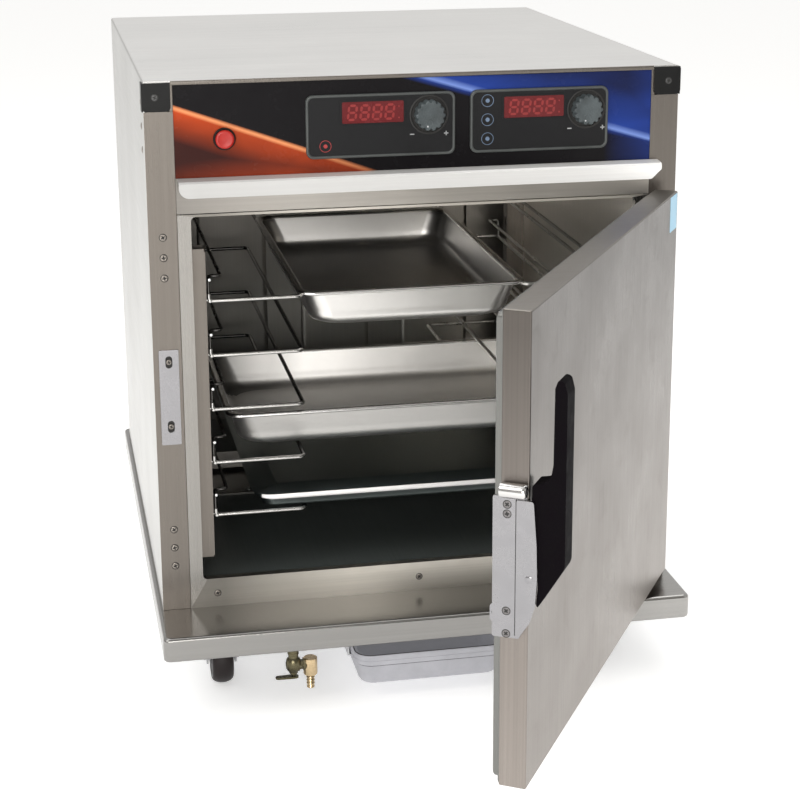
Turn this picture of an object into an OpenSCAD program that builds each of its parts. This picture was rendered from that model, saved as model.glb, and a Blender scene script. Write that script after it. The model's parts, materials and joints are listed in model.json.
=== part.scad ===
// Undercounter holding cabinet with an open door, wire pan slides, a drain valve and casters.
// The cabinet is drawn with its front plane at y = 0 and the floor at z = 0, then shifted as a whole
// so that the origin is the middle of the object's footprint with the door standing open.

/* [Cabinet] */
// Width of the cabinet body
body_w = 735; // [730:1:780]
// Depth of the cabinet body
body_d = 805; // [800:5:860]
// Height of the cabinet body above the base
body_h = 745; // [740:1:760]
// Sheet thickness of the casings
sheet = 2; // [1.5:0.5:2]
// Width of each front post
post_w = 39; // [36:1:40]
// Depth of each front post
post_d = 28; // [20:1:28]

/* [Base and casters] */
// Height of the base tray
base_h = 34; // [32:1:36]
// How far the base stands out in front of the body
base_front = 100; // [95:1:110]
// How far the base stands out at each side
base_side = 7.5; // [5:0.5:30]
// How far the base stands out behind
base_back = 30; // [20:1:60]
// Radius of the corners of the base in plan
base_corner_r = 8; // [4:1:12]
// Height of the casters under the base
caster_h = 92; // [92:1:96]
// Radius of each caster wheel
wheel_r = 37.5; // [34:0.5:37.5]
// Width of each caster wheel
wheel_w = 32; // [24:1:32]
// Distance of each caster's wheel axle behind its swivel axis
caster_trail = 30; // [20:1:32]
// Distance of the casters from the middle of the cabinet
caster_x = 286; // [260:1:300]
// Swivel axis of the front casters, behind the front plane
caster_front_y = -5; // [-20:1:20]
// Swivel axis of the rear casters, behind the front plane
caster_rear_y = 745; // [700:1:750]

/* [Opening and cavity] */
// Width of the door opening
opening_w = 620; // [600:5:620]
// Height of the door opening
opening_h = 520; // [500:5:520]
// Height of the sill under the opening
sill_h = 42; // [40:1:44]
// Inner width of the cavity
cavity_w = 640; // [636:1:642]
// Inner height of the cavity
cavity_h = 537; // [530:1:537]
// Inner depth of the cavity
cavity_d = 735; // [710:1:740]
// Height of the cavity floor above the base
cavity_floor = 38; // [38:1:40]

/* [Pan supports] */
// Number of pan levels
levels = 5; // [1:1:5]
// Height of the lowest level above the base
level_first = 125; // [120:1:128]
// Distance between levels
level_pitch = 78; // [76:1:78]
// Radius of the slide wire
wire_r = 3; // [2.5:0.5:3]
// Distance of the outer runners from the middle
runner_outer_x = 285; // [283:1:286]
// Distance of the inner runners from the middle
runner_inner_x = 158; // [156:1:160]
// Front end of the slides
slide_front_y = 30; // [28:1:34]
// Rear end of the slides
slide_rear_y = 690; // [680:1:690]
// Height of the guard wire above its slide
guard_rise = 30; // [18:1:32]
// Distance of the guard wires from the middle
guard_x = 268; // [267:0.5:272]

/* [Door] */
// Width of the door
door_w = 690; // [680:1:692]
// Height of the door
door_h = 560; // [556:1:560]
// Thickness of the door without its inner pan
door_t = 34; // [30:1:36]
// Gap behind the closed door for its inner pan and gasket
door_gap = 13; // [12:1:16]
// Height of the door's lower edge above the base
door_rise = 16; // [14:1:18]
// Distance of the door's hinge edge from the middle
door_edge_x = 330; // [328:1:332]
// Angle at which the door stands open
door_open = 58; // [0:1:105]

/* [Control panel] */
// Height of the control panel
panel_h = 124; // [124:1:126]
// Height of the control modules
module_h = 86; // [80:1:90]
// Radius of the knobs
knob_r = 21; // [18:0.5:22]
// How far the knobs stand out of their modules
knob_h = 12; // [8:1:20]
// Radius of the push button
button_r = 12.5; // [10:0.5:13]

/* [Pans] */
// Short side of a steam-table pan
pan_short = 324; // [323:1:324]
// Long side of a steam-table pan
pan_long = 527; // [525:1:528]
// Depth of a steam-table pan
pan_depth = 55; // [40:1:58]
// Short side of the sheet pan
sheet_pan_short = 456; // [450:1:458]
// Long side of the sheet pan
sheet_pan_long = 658; // [650:1:660]
// Depth of the sheet pan
sheet_pan_depth = 24; // [18:1:26]

/* [Hidden] */
$fn = 48;

// Heights
shelf_z = caster_h + base_h;
top_z = shelf_z + body_h;
sill_z = shelf_z + sill_h;
opening_top_z = sill_z + opening_h;
floor_z = shelf_z + cavity_floor;
ceiling_z = floor_z + cavity_h;
level_z = shelf_z + level_first;
panel_top_z = top_z - 6;
panel_z = panel_top_z - panel_h;
module_z = panel_z + 62;

// Cabinet plan
half_w = body_w / 2;
post_in = half_w - post_w;
cavity_back = sheet + cavity_d;
motor_y = 420;
board_y = 55;
seam_z = opening_top_z + 4;

// Screws: distance of their row from the middle, and heights above the base
screw_r = 2;
screw_head_r = 4.2;
post_screw_x = 348;
post_screw_h = [66, 93, 120, 480, 508, 536];
strike_screw_x = 346.5;
strike_screw_h = [271, 363];
cap_screw_x = 352;
cap_screw_z = top_z - 21;
sill_screw_x = [-290, 0, 290];
sill_screw_z = shelf_z + 20;
side_screw_y = 45;
side_screw_z = [top_z - 33, top_z - 65, top_z - 97];

// Control panel contents: middle and width of each module, left then right
module_x = [-51, 169];
module_w = [204, 194];
knob_dx = 66;
knob_dz = 12;
button_x = -262;
button_z = module_z - 11;

// Uprights
upright_face_x = 290;
upright_w = 25;
upright_y = [26, 640];
upright_z0 = shelf_z + 60;
upright_h = 455;

// Door, drawn closed and turned to its open place about the hinge pin
door_sheet = 1.5;
door_face_y = -(door_t + door_gap);
door_back_y = -door_gap;
door_free_x = door_edge_x - door_w;
door_z = shelf_z + door_rise;
pin_x = door_edge_x + 4.4;
pin_y = -15;
pin_r = 2.5;
knuckle_r = 4;
hinge_leaf_t = 2;
hinge_h = [shelf_z + post_screw_h[1], shelf_z + post_screw_h[4]];

// Latch and lever, on the door's free edge; the pivot stands just in front of the door's face
latch_z = shelf_z + 200;
latch_h = 166;
pivot_y = door_face_y - 2;
pivot_z = shelf_z + 274;
lever_x = door_free_x - sheet - 0.4;
lever_t = 3;
grip_out = 42;

// Screws of the latch plate
latch_screw_y = door_face_y + 24.5;
latch_screw_h = [205, 232, 346, 357];

// Drip pan
drip_w = 216;
drip_y = [-89, 211];
drip_z = 23;
drip_h = 47;

// Drain valve and reservoir
valve_x = -193;
valve_y = -60;
valve_z = 54;
elbow_x = -169;
reservoir_x = -193;
reservoir_y = 450;

// Shift that puts the origin in the middle of the footprint, the door's tip being the front end
tip_y = pin_y - (pin_x - lever_x) * sin(door_open) - (grip_out - door_face_y + pin_y) * cos(door_open);
middle_y = (body_d + base_back + tip_y) / 2;

module place() {
    translate([0, -middle_y, 0]) children();
}

module at_door() {
    place() translate([pin_x, pin_y, 0]) rotate([0, 0, door_open]) translate([-pin_x, -pin_y, 0]) children();
}

module block(low, high) {
    translate(low) cube(high - low);
}

module both_sides() {
    children();
    mirror([1, 0, 0]) children();
}

// Rectangle with round corners, in plan, centred
module round_rect(w, d, r) {
    square([w - 2 * r, d], center = true);
    square([w, d - 2 * r], center = true);
    for (sx = [-1, 1], sy = [-1, 1]) translate([sx * (w / 2 - r), sy * (d / 2 - r)]) circle(r);
}

// Plate standing upright and facing the front, centred on x and z
module front_plate(w, h, r, y0, y1) {
    translate([0, y1, 0]) rotate([90, 0, 0]) linear_extrude(y1 - y0) round_rect(w, h, r);
}

// Round bar along Y
module bar_y(x, z, y0, y1, r) {
    translate([x, y0, z]) rotate([-90, 0, 0]) cylinder(r = r, h = y1 - y0);
}

// Round bar along X
module bar_x(x0, x1, y, z, r) {
    translate([x0, y, z]) rotate([0, 90, 0]) cylinder(r = r, h = x1 - x0);
}

// Screw seen from the front, with its head on the plane y
module front_screw(x, y, z) {
    bar_y(x, z, y - 1, y, screw_head_r);
    bar_y(x, z, y - 0.5, y + 9, screw_r);
}

// Screw through a side, with its head outside, drawn for the right side
module side_screw(y, z) {
    bar_x(half_w, half_w + 1, y, z, screw_head_r);
    bar_x(half_w - 8, half_w + 0.5, y, z, screw_r);
}

module front_screw_hole(x, z) {
    bar_y(x, z, -20, 20, screw_r + 0.2);
}

// ---------- Base ----------

module base_plan(inset) {
    depth = base_front + body_d + base_back;
    translate([0, depth / 2 - base_front])
        round_rect(body_w + 2 * base_side - 2 * inset, depth - 2 * inset, base_corner_r - inset / 2);
}

module base_tray() {
    color("silver") place() difference() {
        translate([0, 0, caster_h]) linear_extrude(base_h) base_plan(0);
        translate([0, 0, caster_h - 1]) linear_extrude(base_h - sheet + 1) base_plan(sheet);
        translate([reservoir_x, reservoir_y, shelf_z - 5]) cylinder(r = 8, h = 10);
    }
}

module base_closing_plate() {
    color("darkgray") place() difference() {
        translate([0, 0, caster_h]) linear_extrude(sheet) base_plan(sheet + 0.3);
        translate([valve_x, valve_y, caster_h - 1]) cylinder(r = 8, h = 5);
    }
}

// ---------- Casing ----------

module outer_wrap() {
    color("gainsboro") place() {
        block([-half_w, 0, top_z - sheet], [half_w, body_d, top_z]);
        both_sides() difference() {
            block([half_w - sheet, 0, shelf_z], [half_w, body_d, top_z - sheet]);
            for (z = side_screw_z) bar_x(half_w - 5, half_w + 5, side_screw_y, z, screw_r + 0.2);
        }
        block([-half_w + 36, -sheet, panel_top_z], [half_w - 36, 0, top_z]);
        block([-half_w + 36, -1, top_z - sheet], [half_w - 36, 1, top_z]);
    }
}

module back_panel() {
    color("silver") place() difference() {
        block([-half_w + sheet, body_d - sheet, shelf_z], [half_w - sheet, body_d, top_z - sheet]);
        for (row = [0:5]) block([-90, body_d - 5, 766 + 14 * row], [90, body_d + 5, 772 + 14 * row]);
        bar_y(250, 790, body_d - 10, body_d + 10, 11);
    }
}

// Channel with a face and an inner return, drawn for the right side
module front_post() {
    difference() {
        union() {
            block([post_in, 0, shelf_z], [half_w - sheet, sheet, top_z - sheet]);
            block([post_in, sheet, shelf_z], [post_in + sheet, post_d, top_z - sheet]);
        }
        for (h = post_screw_h) front_screw_hole(post_screw_x, shelf_z + h);
        front_screw_hole(cap_screw_x, cap_screw_z);
    }
}

module front_post_left() {
    color("silver") place() difference() {
        mirror([1, 0, 0]) front_post();
        for (h = strike_screw_h) front_screw_hole(-strike_screw_x, shelf_z + h);
    }
}

module front_post_right() {
    color("silver") place() front_post();
}

module corner_caps() {
    cap_w = 36;
    cap_h = 38;
    color("black") place() both_sides() difference() {
        union() {
            block([half_w + 2 - cap_w, -2.5, top_z - sheet - cap_h], [half_w + 2, 0, top_z - sheet]);
            block([half_w, 0, top_z - sheet - cap_h], [half_w + 2, 20, top_z - sheet]);
        }
        front_screw_hole(cap_screw_x, cap_screw_z);
    }
}

module header_rail() {
    color("silver") place() block([-post_in, 0, seam_z], [post_in, sheet, panel_z]);
}

module front_frame() {
    middle_z = (sill_z + opening_top_z) / 2;
    color("silver") place() difference() {
        union() {
            block([-post_in, 0, shelf_z], [post_in, sheet, seam_z - 0.6]);
            translate([0, 0, middle_z]) front_plate(opening_w + 4, opening_h + 4, 8, sheet, 12);
        }
        translate([0, 0, middle_z]) front_plate(opening_w, opening_h, 6, -1, 13);
        for (x = sill_screw_x) front_screw_hole(x, sill_screw_z);
    }
}

// Bent strip that throws drips clear of the door
module drip_visor() {
    out = 20;
    color("white") place() translate([-326, 0, 0]) rotate([90, 0, 90]) linear_extrude(666)
        polygon([[0, panel_z], [-out + 2, panel_z - 2], [-out, panel_z - 4], [-out, panel_z - 24],
            [-out + 1.5, panel_z - 24], [-out + 1.5, panel_z - 4.5], [0, panel_z - 2]]);
}

// ---------- Control panel ----------

module control_panel() {
    color("black") place() difference() {
        block([-post_in, 1, panel_z], [post_in, 4, panel_top_z]);
        for (i = [0, 1]) translate([module_x[i], 0, module_z]) front_plate(module_w[i] - 20, module_h - 20, 4, -1, 5);
        bar_y(button_x, button_z, -1, 5, 11);
    }
}

module control_module(i) {
    difference() {
        translate([module_x[i], 0, module_z]) {
            front_plate(module_w[i], module_h, 10, -4, 1);
            front_plate(module_w[i] - 21, module_h - 21, 4, 1, 32);
        }
        translate([module_x[i], 0, module_z]) front_plate(module_w[i] - 6, module_h - 6, 8, -5, -2.5);
        bar_y(module_x[i] + knob_dx, module_z + knob_dz, -10, 18, 3.06);
        bar_y(module_x[i] + knob_dx, module_z + knob_dz, -10, -0.5, knob_r + 3);
    }
}

module control_module_left() {
    color("dimgray") place() control_module(0);
}

module control_module_right() {
    color("dimgray") place() control_module(1);
}

module display_windows() {
    color("firebrick") place() for (x = [-62, 161]) translate([x, 0, module_z + 18]) front_plate(84, 30, 2, -3.3, -2.5);
}

module switch_bezel() {
    color("black") place() difference() {
        union() {
            bar_y(button_x, button_z, -3, 1, button_r + 2.5);
            bar_y(button_x, button_z, 1, 24, 10.8);
        }
        bar_y(button_x, button_z, -4, -1, button_r + 0.3);
        bar_y(button_x, button_z, -4, 20, 5.06);
    }
}

module power_button() {
    color("red") place() {
        bar_y(button_x, button_z, -9, -4.2, button_r);
        bar_y(button_x, button_z, -4.2, 14, 5);
    }
}

module knob(i) {
    x = module_x[i] + knob_dx;
    z = module_z + knob_dz;
    lobes = 14;
    difference() {
        bar_y(x, z, -4 - knob_h, -1, knob_r);
        for (k = [0:lobes - 1]) translate([x, 0, z]) rotate([0, 360 / lobes * k, 0]) bar_y(knob_r + 1, 0, -30, 0, 2.2);
        translate([x + 6, -6 - knob_h, z - 10]) sphere(5);
    }
    bar_y(x, z, -1.5, 16, 3);
}

module knob_left() {
    color("slategray") place() knob(0);
}

module knob_right() {
    color("slategray") place() knob(1);
}

// ---------- Cavity ----------

module cavity_liner() {
    outer = cavity_w / 2 + sheet;
    inner = cavity_w / 2;
    color("gray") place() difference() {
        block([-outer, sheet, floor_z - sheet], [outer, cavity_back + sheet, ceiling_z + sheet]);
        block([-inner, -1, floor_z], [inner, cavity_back, ceiling_z]);
        block([reservoir_x - 80, reservoir_y - 100, floor_z - 5], [reservoir_x + 80, reservoir_y + 100, floor_z + 1]);
        translate([0, motor_y, ceiling_z - 1]) cylinder(r = 7, h = 5);
        for (sx = [-1, 1]) translate([sx * 82, motor_y, ceiling_z - 1]) cylinder(r = 4.6, h = 5);
    }
}

module wall_insulation() {
    outer = half_w - sheet - 0.3;
    inner = cavity_w / 2 + sheet + 0.3;
    color("khaki") place() difference() {
        block([-outer, post_d + 2, shelf_z + 0.3], [outer, body_d - sheet - 0.5, ceiling_z + 34]);
        block([-inner, 0, floor_z - sheet - 0.3], [inner, cavity_back + sheet + 0.3, ceiling_z + sheet + 0.3]);
        block([reservoir_x - 84, reservoir_y - 104, shelf_z], [reservoir_x + 84, reservoir_y + 104, floor_z]);
        translate([0, motor_y, ceiling_z]) cylinder(r = 9, h = 50);
        for (sx = [-1, 1]) translate([sx * 82, motor_y, ceiling_z]) cylinder(r = 6, h = 50);
    }
}

// Slotted channel on the cavity wall, drawn for the right side
module upright(y0) {
    wall = 1.5;
    difference() {
        block([upright_face_x, y0, upright_z0], [cavity_w / 2, y0 + upright_w, upright_z0 + upright_h]);
        block([upright_face_x + wall, y0 + wall, upright_z0 - 1],
            [cavity_w / 2 + 1, y0 + upright_w - wall, upright_z0 + upright_h + 1]);
        for (k = [0:10])
            block([upright_face_x - 1, y0 + 8.5, level_z - 51 + k * level_pitch / 2],
                [upright_face_x + wall + 1, y0 + 16.5, level_z - 29 + k * level_pitch / 2]);
        for (k = [0:levels - 1])
            block([upright_face_x - 1, y0 + 8.5, level_z - 5 + k * level_pitch],
                [upright_face_x + wall + 1, y0 + 16.5, level_z + 9 + k * level_pitch]);
    }
}

module rack_uprights() {
    color("silver") place() both_sides() for (y0 = upright_y) upright(y0);
}

// U-shaped slide with a closed rear end and a hook at each upright, drawn for the right side
module wire_slide(z) {
    cross_r = wire_r - 0.3;
    for (x = [runner_outer_x, runner_inner_x]) bar_y(x, z, slide_front_y, slide_rear_y, wire_r);
    for (y = [slide_front_y + wire_r, slide_rear_y - wire_r]) bar_x(runner_inner_x, runner_outer_x, y, z, cross_r);
    for (y0 = upright_y) bar_x(runner_outer_x, upright_face_x + 8, y0 + upright_w / 2, z, cross_r);
}

module wire_slides() {
    color("lightgray") place() both_sides() for (k = [0:levels - 1]) wire_slide(level_z + k * level_pitch);
}

// Guard wire that keeps a pan from sliding sideways, cranked out to a bare front end, drawn for the right side
module guard_wire(z) {
    guard_r = wire_r - 0.5;
    cross_r = guard_r - 0.3;
    crank_y = slide_front_y + 25;
    top = z + guard_rise;
    bar_y(guard_x, top, crank_y - guard_r, slide_rear_y - 5, guard_r);
    for (y = [crank_y, slide_rear_y - 8]) bar_x(guard_x, runner_outer_x, y, top, cross_r);
    bar_y(runner_outer_x, top, slide_front_y, crank_y + guard_r, guard_r);
    for (y = [slide_front_y + wire_r, slide_rear_y - 8])
        translate([runner_outer_x, y, z + wire_r]) cylinder(r = cross_r, h = guard_rise - wire_r);
}

module slide_guard_wires() {
    color("lightgray") place() both_sides() for (k = [0:levels - 1]) guard_wire(level_z + k * level_pitch);
}

// ---------- Front hardware ----------

module strike_plate() {
    color("lightsteelblue") place() difference() {
        block([-360, -2, shelf_z + 245], [-333, 0, shelf_z + 380]);
        for (h = strike_screw_h) {
            front_screw_hole(-strike_screw_x, shelf_z + h + 4);
            front_screw_hole(-strike_screw_x, shelf_z + h - 4);
            block([-strike_screw_x - screw_r - 0.2, -3, shelf_z + h - 4],
                [-strike_screw_x + screw_r + 0.2, 1, shelf_z + h + 4]);
        }
    }
}

module cabinet_screws() {
    color("gray") place() {
        for (h = post_screw_h) {
            front_screw(-post_screw_x, 0, shelf_z + h);
            front_screw(post_screw_x, -hinge_leaf_t, shelf_z + h);
        }
        both_sides() {
            front_screw(cap_screw_x, -2.5, cap_screw_z);
            for (z = side_screw_z) side_screw(side_screw_y, z);
        }
        for (h = strike_screw_h) front_screw(-strike_screw_x, -2, shelf_z + h);
        for (x = sill_screw_x) front_screw(x, 0, sill_screw_z);
    }
}

// Fixed half of a lift-off hinge: flange, web, lower knuckle and the pin that carries the door
module hinge_frame_leaves() {
    color("gray") place() for (z = hinge_h) {
        difference() {
            block([pin_x + 2, -hinge_leaf_t, z - 36], [half_w - 6, 0, z + 36]);
            for (h = post_screw_h) front_screw_hole(post_screw_x, shelf_z + h);
        }
        block([pin_x + 2, pin_y, z - 30], [pin_x + knuckle_r, -2, z - 0.5]);
        translate([pin_x, pin_y, z - 30]) cylinder(r = knuckle_r, h = 29.5);
        translate([pin_x, pin_y, z - 1]) cylinder(r = pin_r, h = 26);
    }
}

// Moving half: upper knuckle and the leaf on the door's hinge edge
module hinge_door_leaves() {
    color("gray") at_door() for (z = hinge_h) difference() {
        union() {
            block([door_edge_x, door_face_y + 3, z - 28], [door_edge_x + 1.5, pin_y - 6, z + 28]);
            block([door_edge_x, pin_y - 7, z + 0.5], [door_edge_x + 1.5, pin_y, z + 28]);
            translate([pin_x, pin_y, z + 0.5]) cylinder(r = knuckle_r, h = 27.5);
        }
        translate([pin_x, pin_y, z - 1]) cylinder(r = pin_r + 0.06, h = 40);
    }
}

// ---------- Air system and controls ----------

module blower_motor() {
    plate_z = ceiling_z + 34;
    color("dimgray") place() difference() {
        union() {
            translate([0, motor_y, plate_z]) cylinder(r = 55, h = 2);
            translate([0, motor_y, plate_z + 2]) cylinder(r = 42, h = 60);
        }
        translate([0, motor_y, plate_z - 1]) cylinder(r = 4.06, h = 20);
    }
}

module blower_wheel() {
    wheel_z = ceiling_z - 46;
    blades = 18;
    color("silver") place() translate([0, motor_y, wheel_z]) {
        translate([0, 0, 34]) cylinder(r = 65, h = 2);
        difference() {
            cylinder(r = 65, h = 2);
            translate([0, 0, -1]) cylinder(r = 48, h = 4);
        }
        for (k = [0:blades - 1]) rotate([0, 0, 360 / blades * k]) block([50, -0.75, 1], [63, 0.75, 35]);
        translate([0, 0, 20]) cylinder(r = 12, h = 15);
        translate([0, 0, 30]) cylinder(r = 4, h = 66);
    }
}

// Perforated box round the blower wheel and the heater ring
module fan_guard() {
    low = ceiling_z - 56;
    color("silver") place() difference() {
        block([-100, motor_y - 100, low], [100, motor_y + 100, ceiling_z]);
        block([-98.5, motor_y - 98.5, low + 1.5], [98.5, motor_y + 98.5, ceiling_z + 1]);
        for (k = [-4:4]) block([-50, motor_y + 10 * k - 2.5, low - 1], [50, motor_y + 10 * k + 2.5, low + 3]);
        for (k = [-4:4]) block([20 * k - 6, motor_y - 110, low + 20], [20 * k + 6, motor_y + 110, low + 44]);
    }
}

module air_heater() {
    tube_r = 4;
    ring_r = 82;
    ring_z = ceiling_z - 30;
    color("saddlebrown") place() translate([0, motor_y, 0]) {
        translate([0, 0, ring_z]) rotate_extrude() translate([ring_r, 0]) circle(tube_r);
        for (sx = [-1, 1]) translate([sx * ring_r, 0, ring_z]) cylinder(r = tube_r, h = 85);
    }
}

module control_board() {
    foot_z = ceiling_z + 34;
    color("darkgreen") place() {
        block([-120, board_y, foot_z], [120, board_y + 2, foot_z + 110]);
        block([-120, board_y + 2, foot_z], [120, board_y + 30, foot_z + 2]);
        for (k = [-2:2]) block([40 * k - 14, board_y + 2, foot_z + 24], [40 * k + 14, board_y + 20, foot_z + 48]);
        block([-60, board_y + 2, foot_z + 58], [60, board_y + 26, foot_z + 98]);
    }
}

module cord_gland() {
    color("black") place() difference() {
        union() {
            bar_y(250, 790, body_d - 10, body_d, 10.8);
            bar_y(250, 790, body_d, body_d + 4, 16);
            bar_y(250, 790, body_d + 4, body_d + 20, 12);
        }
        bar_y(250, 790, body_d - 12, body_d + 22, 5);
    }
}

// ---------- Water drain ----------

// Humidity water pan in the cavity floor, with its drain tube inside the base
module water_reservoir() {
    tube_z = caster_h + 16;
    color("silver") place() {
        difference() {
            block([reservoir_x - 79, reservoir_y - 99, shelf_z + 4], [reservoir_x + 79, reservoir_y + 99, floor_z]);
            block([reservoir_x - 77, reservoir_y - 97, shelf_z + 6], [reservoir_x + 77, reservoir_y + 97, floor_z + 1]);
            translate([reservoir_x, reservoir_y, shelf_z]) cylinder(r = 4.5, h = 20);
        }
        difference() {
            translate([reservoir_x, reservoir_y, tube_z]) cylinder(r = 6, h = shelf_z + 4 - tube_z);
            translate([reservoir_x, reservoir_y, tube_z]) cylinder(r = 4.5, h = 40);
        }
        bar_y(valve_x, tube_z, valve_y, reservoir_y, 6);
        translate([valve_x, valve_y, caster_h]) cylinder(r = 6, h = 16);
    }
}

module drain_valve_body() {
    color("goldenrod") place() translate([valve_x, valve_y, 0]) difference() {
        union() {
            translate([0, 0, 78]) cylinder(r = 13, h = caster_h - 78, $fn = 6);
            translate([0, 0, valve_z]) cylinder(r = 8, h = 25);
            translate([0, 0, valve_z]) sphere(11);
            bar_x(0, elbow_x - valve_x - 10, 0, valve_z, 7);
            translate([0, 0, 41]) cylinder(r = 5, h = 10);
        }
        translate([0, 0, 35]) cylinder(r = 2.56, h = 16);
    }
}

module drain_elbow() {
    color("gold") place() translate([elbow_x, valve_y, 0]) difference() {
        union() {
            translate([0, 0, 37]) cylinder(r = 10, h = 27);
            translate([0, 0, 18]) cylinder(r = 6, h = 20);
        }
        translate([0, 0, 17]) cylinder(r = 4, h = 36);
    }
}

module drain_lever() {
    color("darkgoldenrod") place() translate([valve_x, valve_y, 0]) {
        translate([0, 0, 34]) linear_extrude(4) {
            circle(6);
            translate([-22, -4]) square([22, 8]);
            translate([-22, 0]) circle(4);
        }
        translate([0, 0, 37]) cylinder(r = 2.5, h = 12);
    }
}

// ---------- Drip pan ----------

module drip_plan(inset) {
    translate([0, (drip_y[0] + drip_y[1]) / 2]) round_rect(drip_w - 2 * inset, drip_y[1] - drip_y[0] - 2 * inset, 24 - inset);
}

module drip_pan() {
    color("lightgray") place() difference() {
        union() {
            translate([0, 0, drip_z]) linear_extrude(drip_h) drip_plan(4);
            translate([0, 0, drip_z + drip_h - 16]) linear_extrude(16) drip_plan(0);
        }
        translate([0, 0, drip_z + 2]) linear_extrude(drip_h) drip_plan(6);
    }
}

module drip_pan_runners() {
    lip_z = drip_z + drip_h - 19;
    half = drip_w / 2;
    color("gray") place() both_sides() translate([0, 205, 0]) rotate([90, 0, 0]) linear_extrude(245)
        polygon([[half - 2.5, lip_z], [half + 4, lip_z], [half + 4, caster_h - 2], [half + 18, caster_h - 2],
            [half + 18, caster_h], [half + 2, caster_h], [half + 2, lip_z + 2], [half - 2.5, lip_z + 2]]);
}

// ---------- Casters ----------

module each_caster() {
    for (sx = [-1, 1], y = [caster_front_y, caster_rear_y]) translate([sx * caster_x, y, 0]) children();
}

module caster_plates() {
    crown_z = caster_h - 14.5;
    color("gray") place() each_caster() {
        difference() {
            translate([0, 0, caster_h - 4]) linear_extrude(4) round_rect(92, 74, 6);
            for (sx = [-1, 1], sy = [-1, 1]) translate([sx * 37, sy * 28, caster_h - 5]) cylinder(r = 4, h = 6);
        }
        translate([0, 0, caster_h - 11]) cylinder(r = 25, h = 8);
        translate([0, 0, crown_z - 7]) cylinder(r = 5, h = 14);
        translate([0, 0, crown_z - 7.3]) cylinder(r = 8, h = 7);
    }
}

// Swivelling fork with its crown, two legs and the axle
module caster_fork(x, y) {
    crown_z = caster_h - 14.5;
    leg_x = wheel_w / 2 + 3;
    color("gray") place() translate([x, y, 0]) {
        difference() {
            union() {
                translate([0, 0, crown_z]) cylinder(r = 22, h = 3.2);
                block([-leg_x - 2.5, 0, crown_z], [leg_x + 2.5, 20, crown_z + 3.2]);
                for (sx = [-1, 1]) translate([sx * (leg_x + 1.25), 0, 0]) rotate([90, 0, 90])
                    translate([0, 0, -1.25]) linear_extrude(2.5) fork_leg();
            }
            translate([0, 0, crown_z - 1]) cylinder(r = 5.06, h = 6);
            bar_x(-40, 40, caster_trail, wheel_r, 4.1);
        }
        bar_x(-leg_x - 6, leg_x + 6, caster_trail, wheel_r, 4);
    }
}

module fork_leg() {
    crown_z = caster_h - 14.5;
    translate([caster_trail, wheel_r]) circle(10);
    polygon([[-12, crown_z + 3.2], [20, crown_z + 3.2], [caster_trail + 10, wheel_r + 2], [caster_trail - 9.5, wheel_r - 3]]);
}

module caster_wheel(x, y) {
    half = wheel_w / 2;
    color("dimgray") place() translate([x, y + caster_trail, wheel_r]) rotate([0, 90, 0]) difference() {
        rotate_extrude($fn = 64) polygon(concat(
            [[4.06, -half], [wheel_r - 8, -half + 1]],
            [for (a = [-90:15:90]) [wheel_r - 8 + 8 * cos(a), half * 0.95 * sin(a)]],
            [[wheel_r - 8, half - 1], [4.06, half]]));
    }
}

module caster_fork_front_left() {
    caster_fork(-caster_x, caster_front_y);
}

module caster_fork_front_right() {
    caster_fork(caster_x, caster_front_y);
}

module caster_fork_rear_left() {
    caster_fork(-caster_x, caster_rear_y);
}

module caster_fork_rear_right() {
    caster_fork(caster_x, caster_rear_y);
}

module caster_wheel_front_left() {
    caster_wheel(-caster_x, caster_front_y);
}

module caster_wheel_front_right() {
    caster_wheel(caster_x, caster_front_y);
}

module caster_wheel_rear_left() {
    caster_wheel(-caster_x, caster_rear_y);
}

module caster_wheel_rear_right() {
    caster_wheel(caster_x, caster_rear_y);
}

// ---------- Pans ----------

// Open pan with sloping sides and a flat rim; low corner of the rim's plan at the origin, rim top at z = 0
module food_pan(w, d, depth, rim, slope, corner, wall) {
    module tub(inset, low) {
        hull() {
            translate([w / 2, d / 2, 0]) linear_extrude(1)
                round_rect(w - 2 * (rim + inset), d - 2 * (rim + inset), corner, $fn = 32);
            translate([w / 2, d / 2, low]) linear_extrude(1)
                round_rect(w - 2 * (rim + slope + inset), d - 2 * (rim + slope + inset), corner, $fn = 32);
        }
    }
    difference() {
        union() {
            translate([w / 2, d / 2, -3]) linear_extrude(3) round_rect(w, d, corner + 4);
            intersection() {
                tub(0, -depth);
                translate([0, 0, -depth - 1]) cube([w, d, depth + 1]);
            }
        }
        tub(wall, -depth + wall);
    }
}

module pan_top() {
    rim_z = level_z + 4 * level_pitch + wire_r + 3.3;
    color("whitesmoke") place() translate([-pan_short / 2, 24, rim_z]) food_pan(pan_short, pan_long, pan_depth, 10, 8, 26, 1.5);
}

module pan_middle() {
    rim_z = level_z + level_pitch + wire_r + 0.3 + pan_depth;
    color("whitesmoke") place() translate([-pan_long / 2, 60, rim_z]) food_pan(pan_long, pan_short, pan_depth, 10, 8, 26, 1.5);
}

module sheet_pan() {
    rim_z = level_z + wire_r + 0.3 + sheet_pan_depth;
    color("whitesmoke") place() translate([-sheet_pan_short / 2, 28, rim_z])
        food_pan(sheet_pan_short, sheet_pan_long, sheet_pan_depth, 5, 5, 18, 1.5);
}

// ---------- Door, drawn closed ----------

module door_skin() {
    color("lightgray") at_door() difference() {
        block([door_free_x, door_face_y, door_z], [door_edge_x, door_back_y, door_z + door_h]);
        block([door_free_x + door_sheet, door_face_y + door_sheet, door_z + door_sheet],
            [door_edge_x - door_sheet, door_back_y + 1, door_z + door_h - door_sheet]);
    }
}

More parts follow.
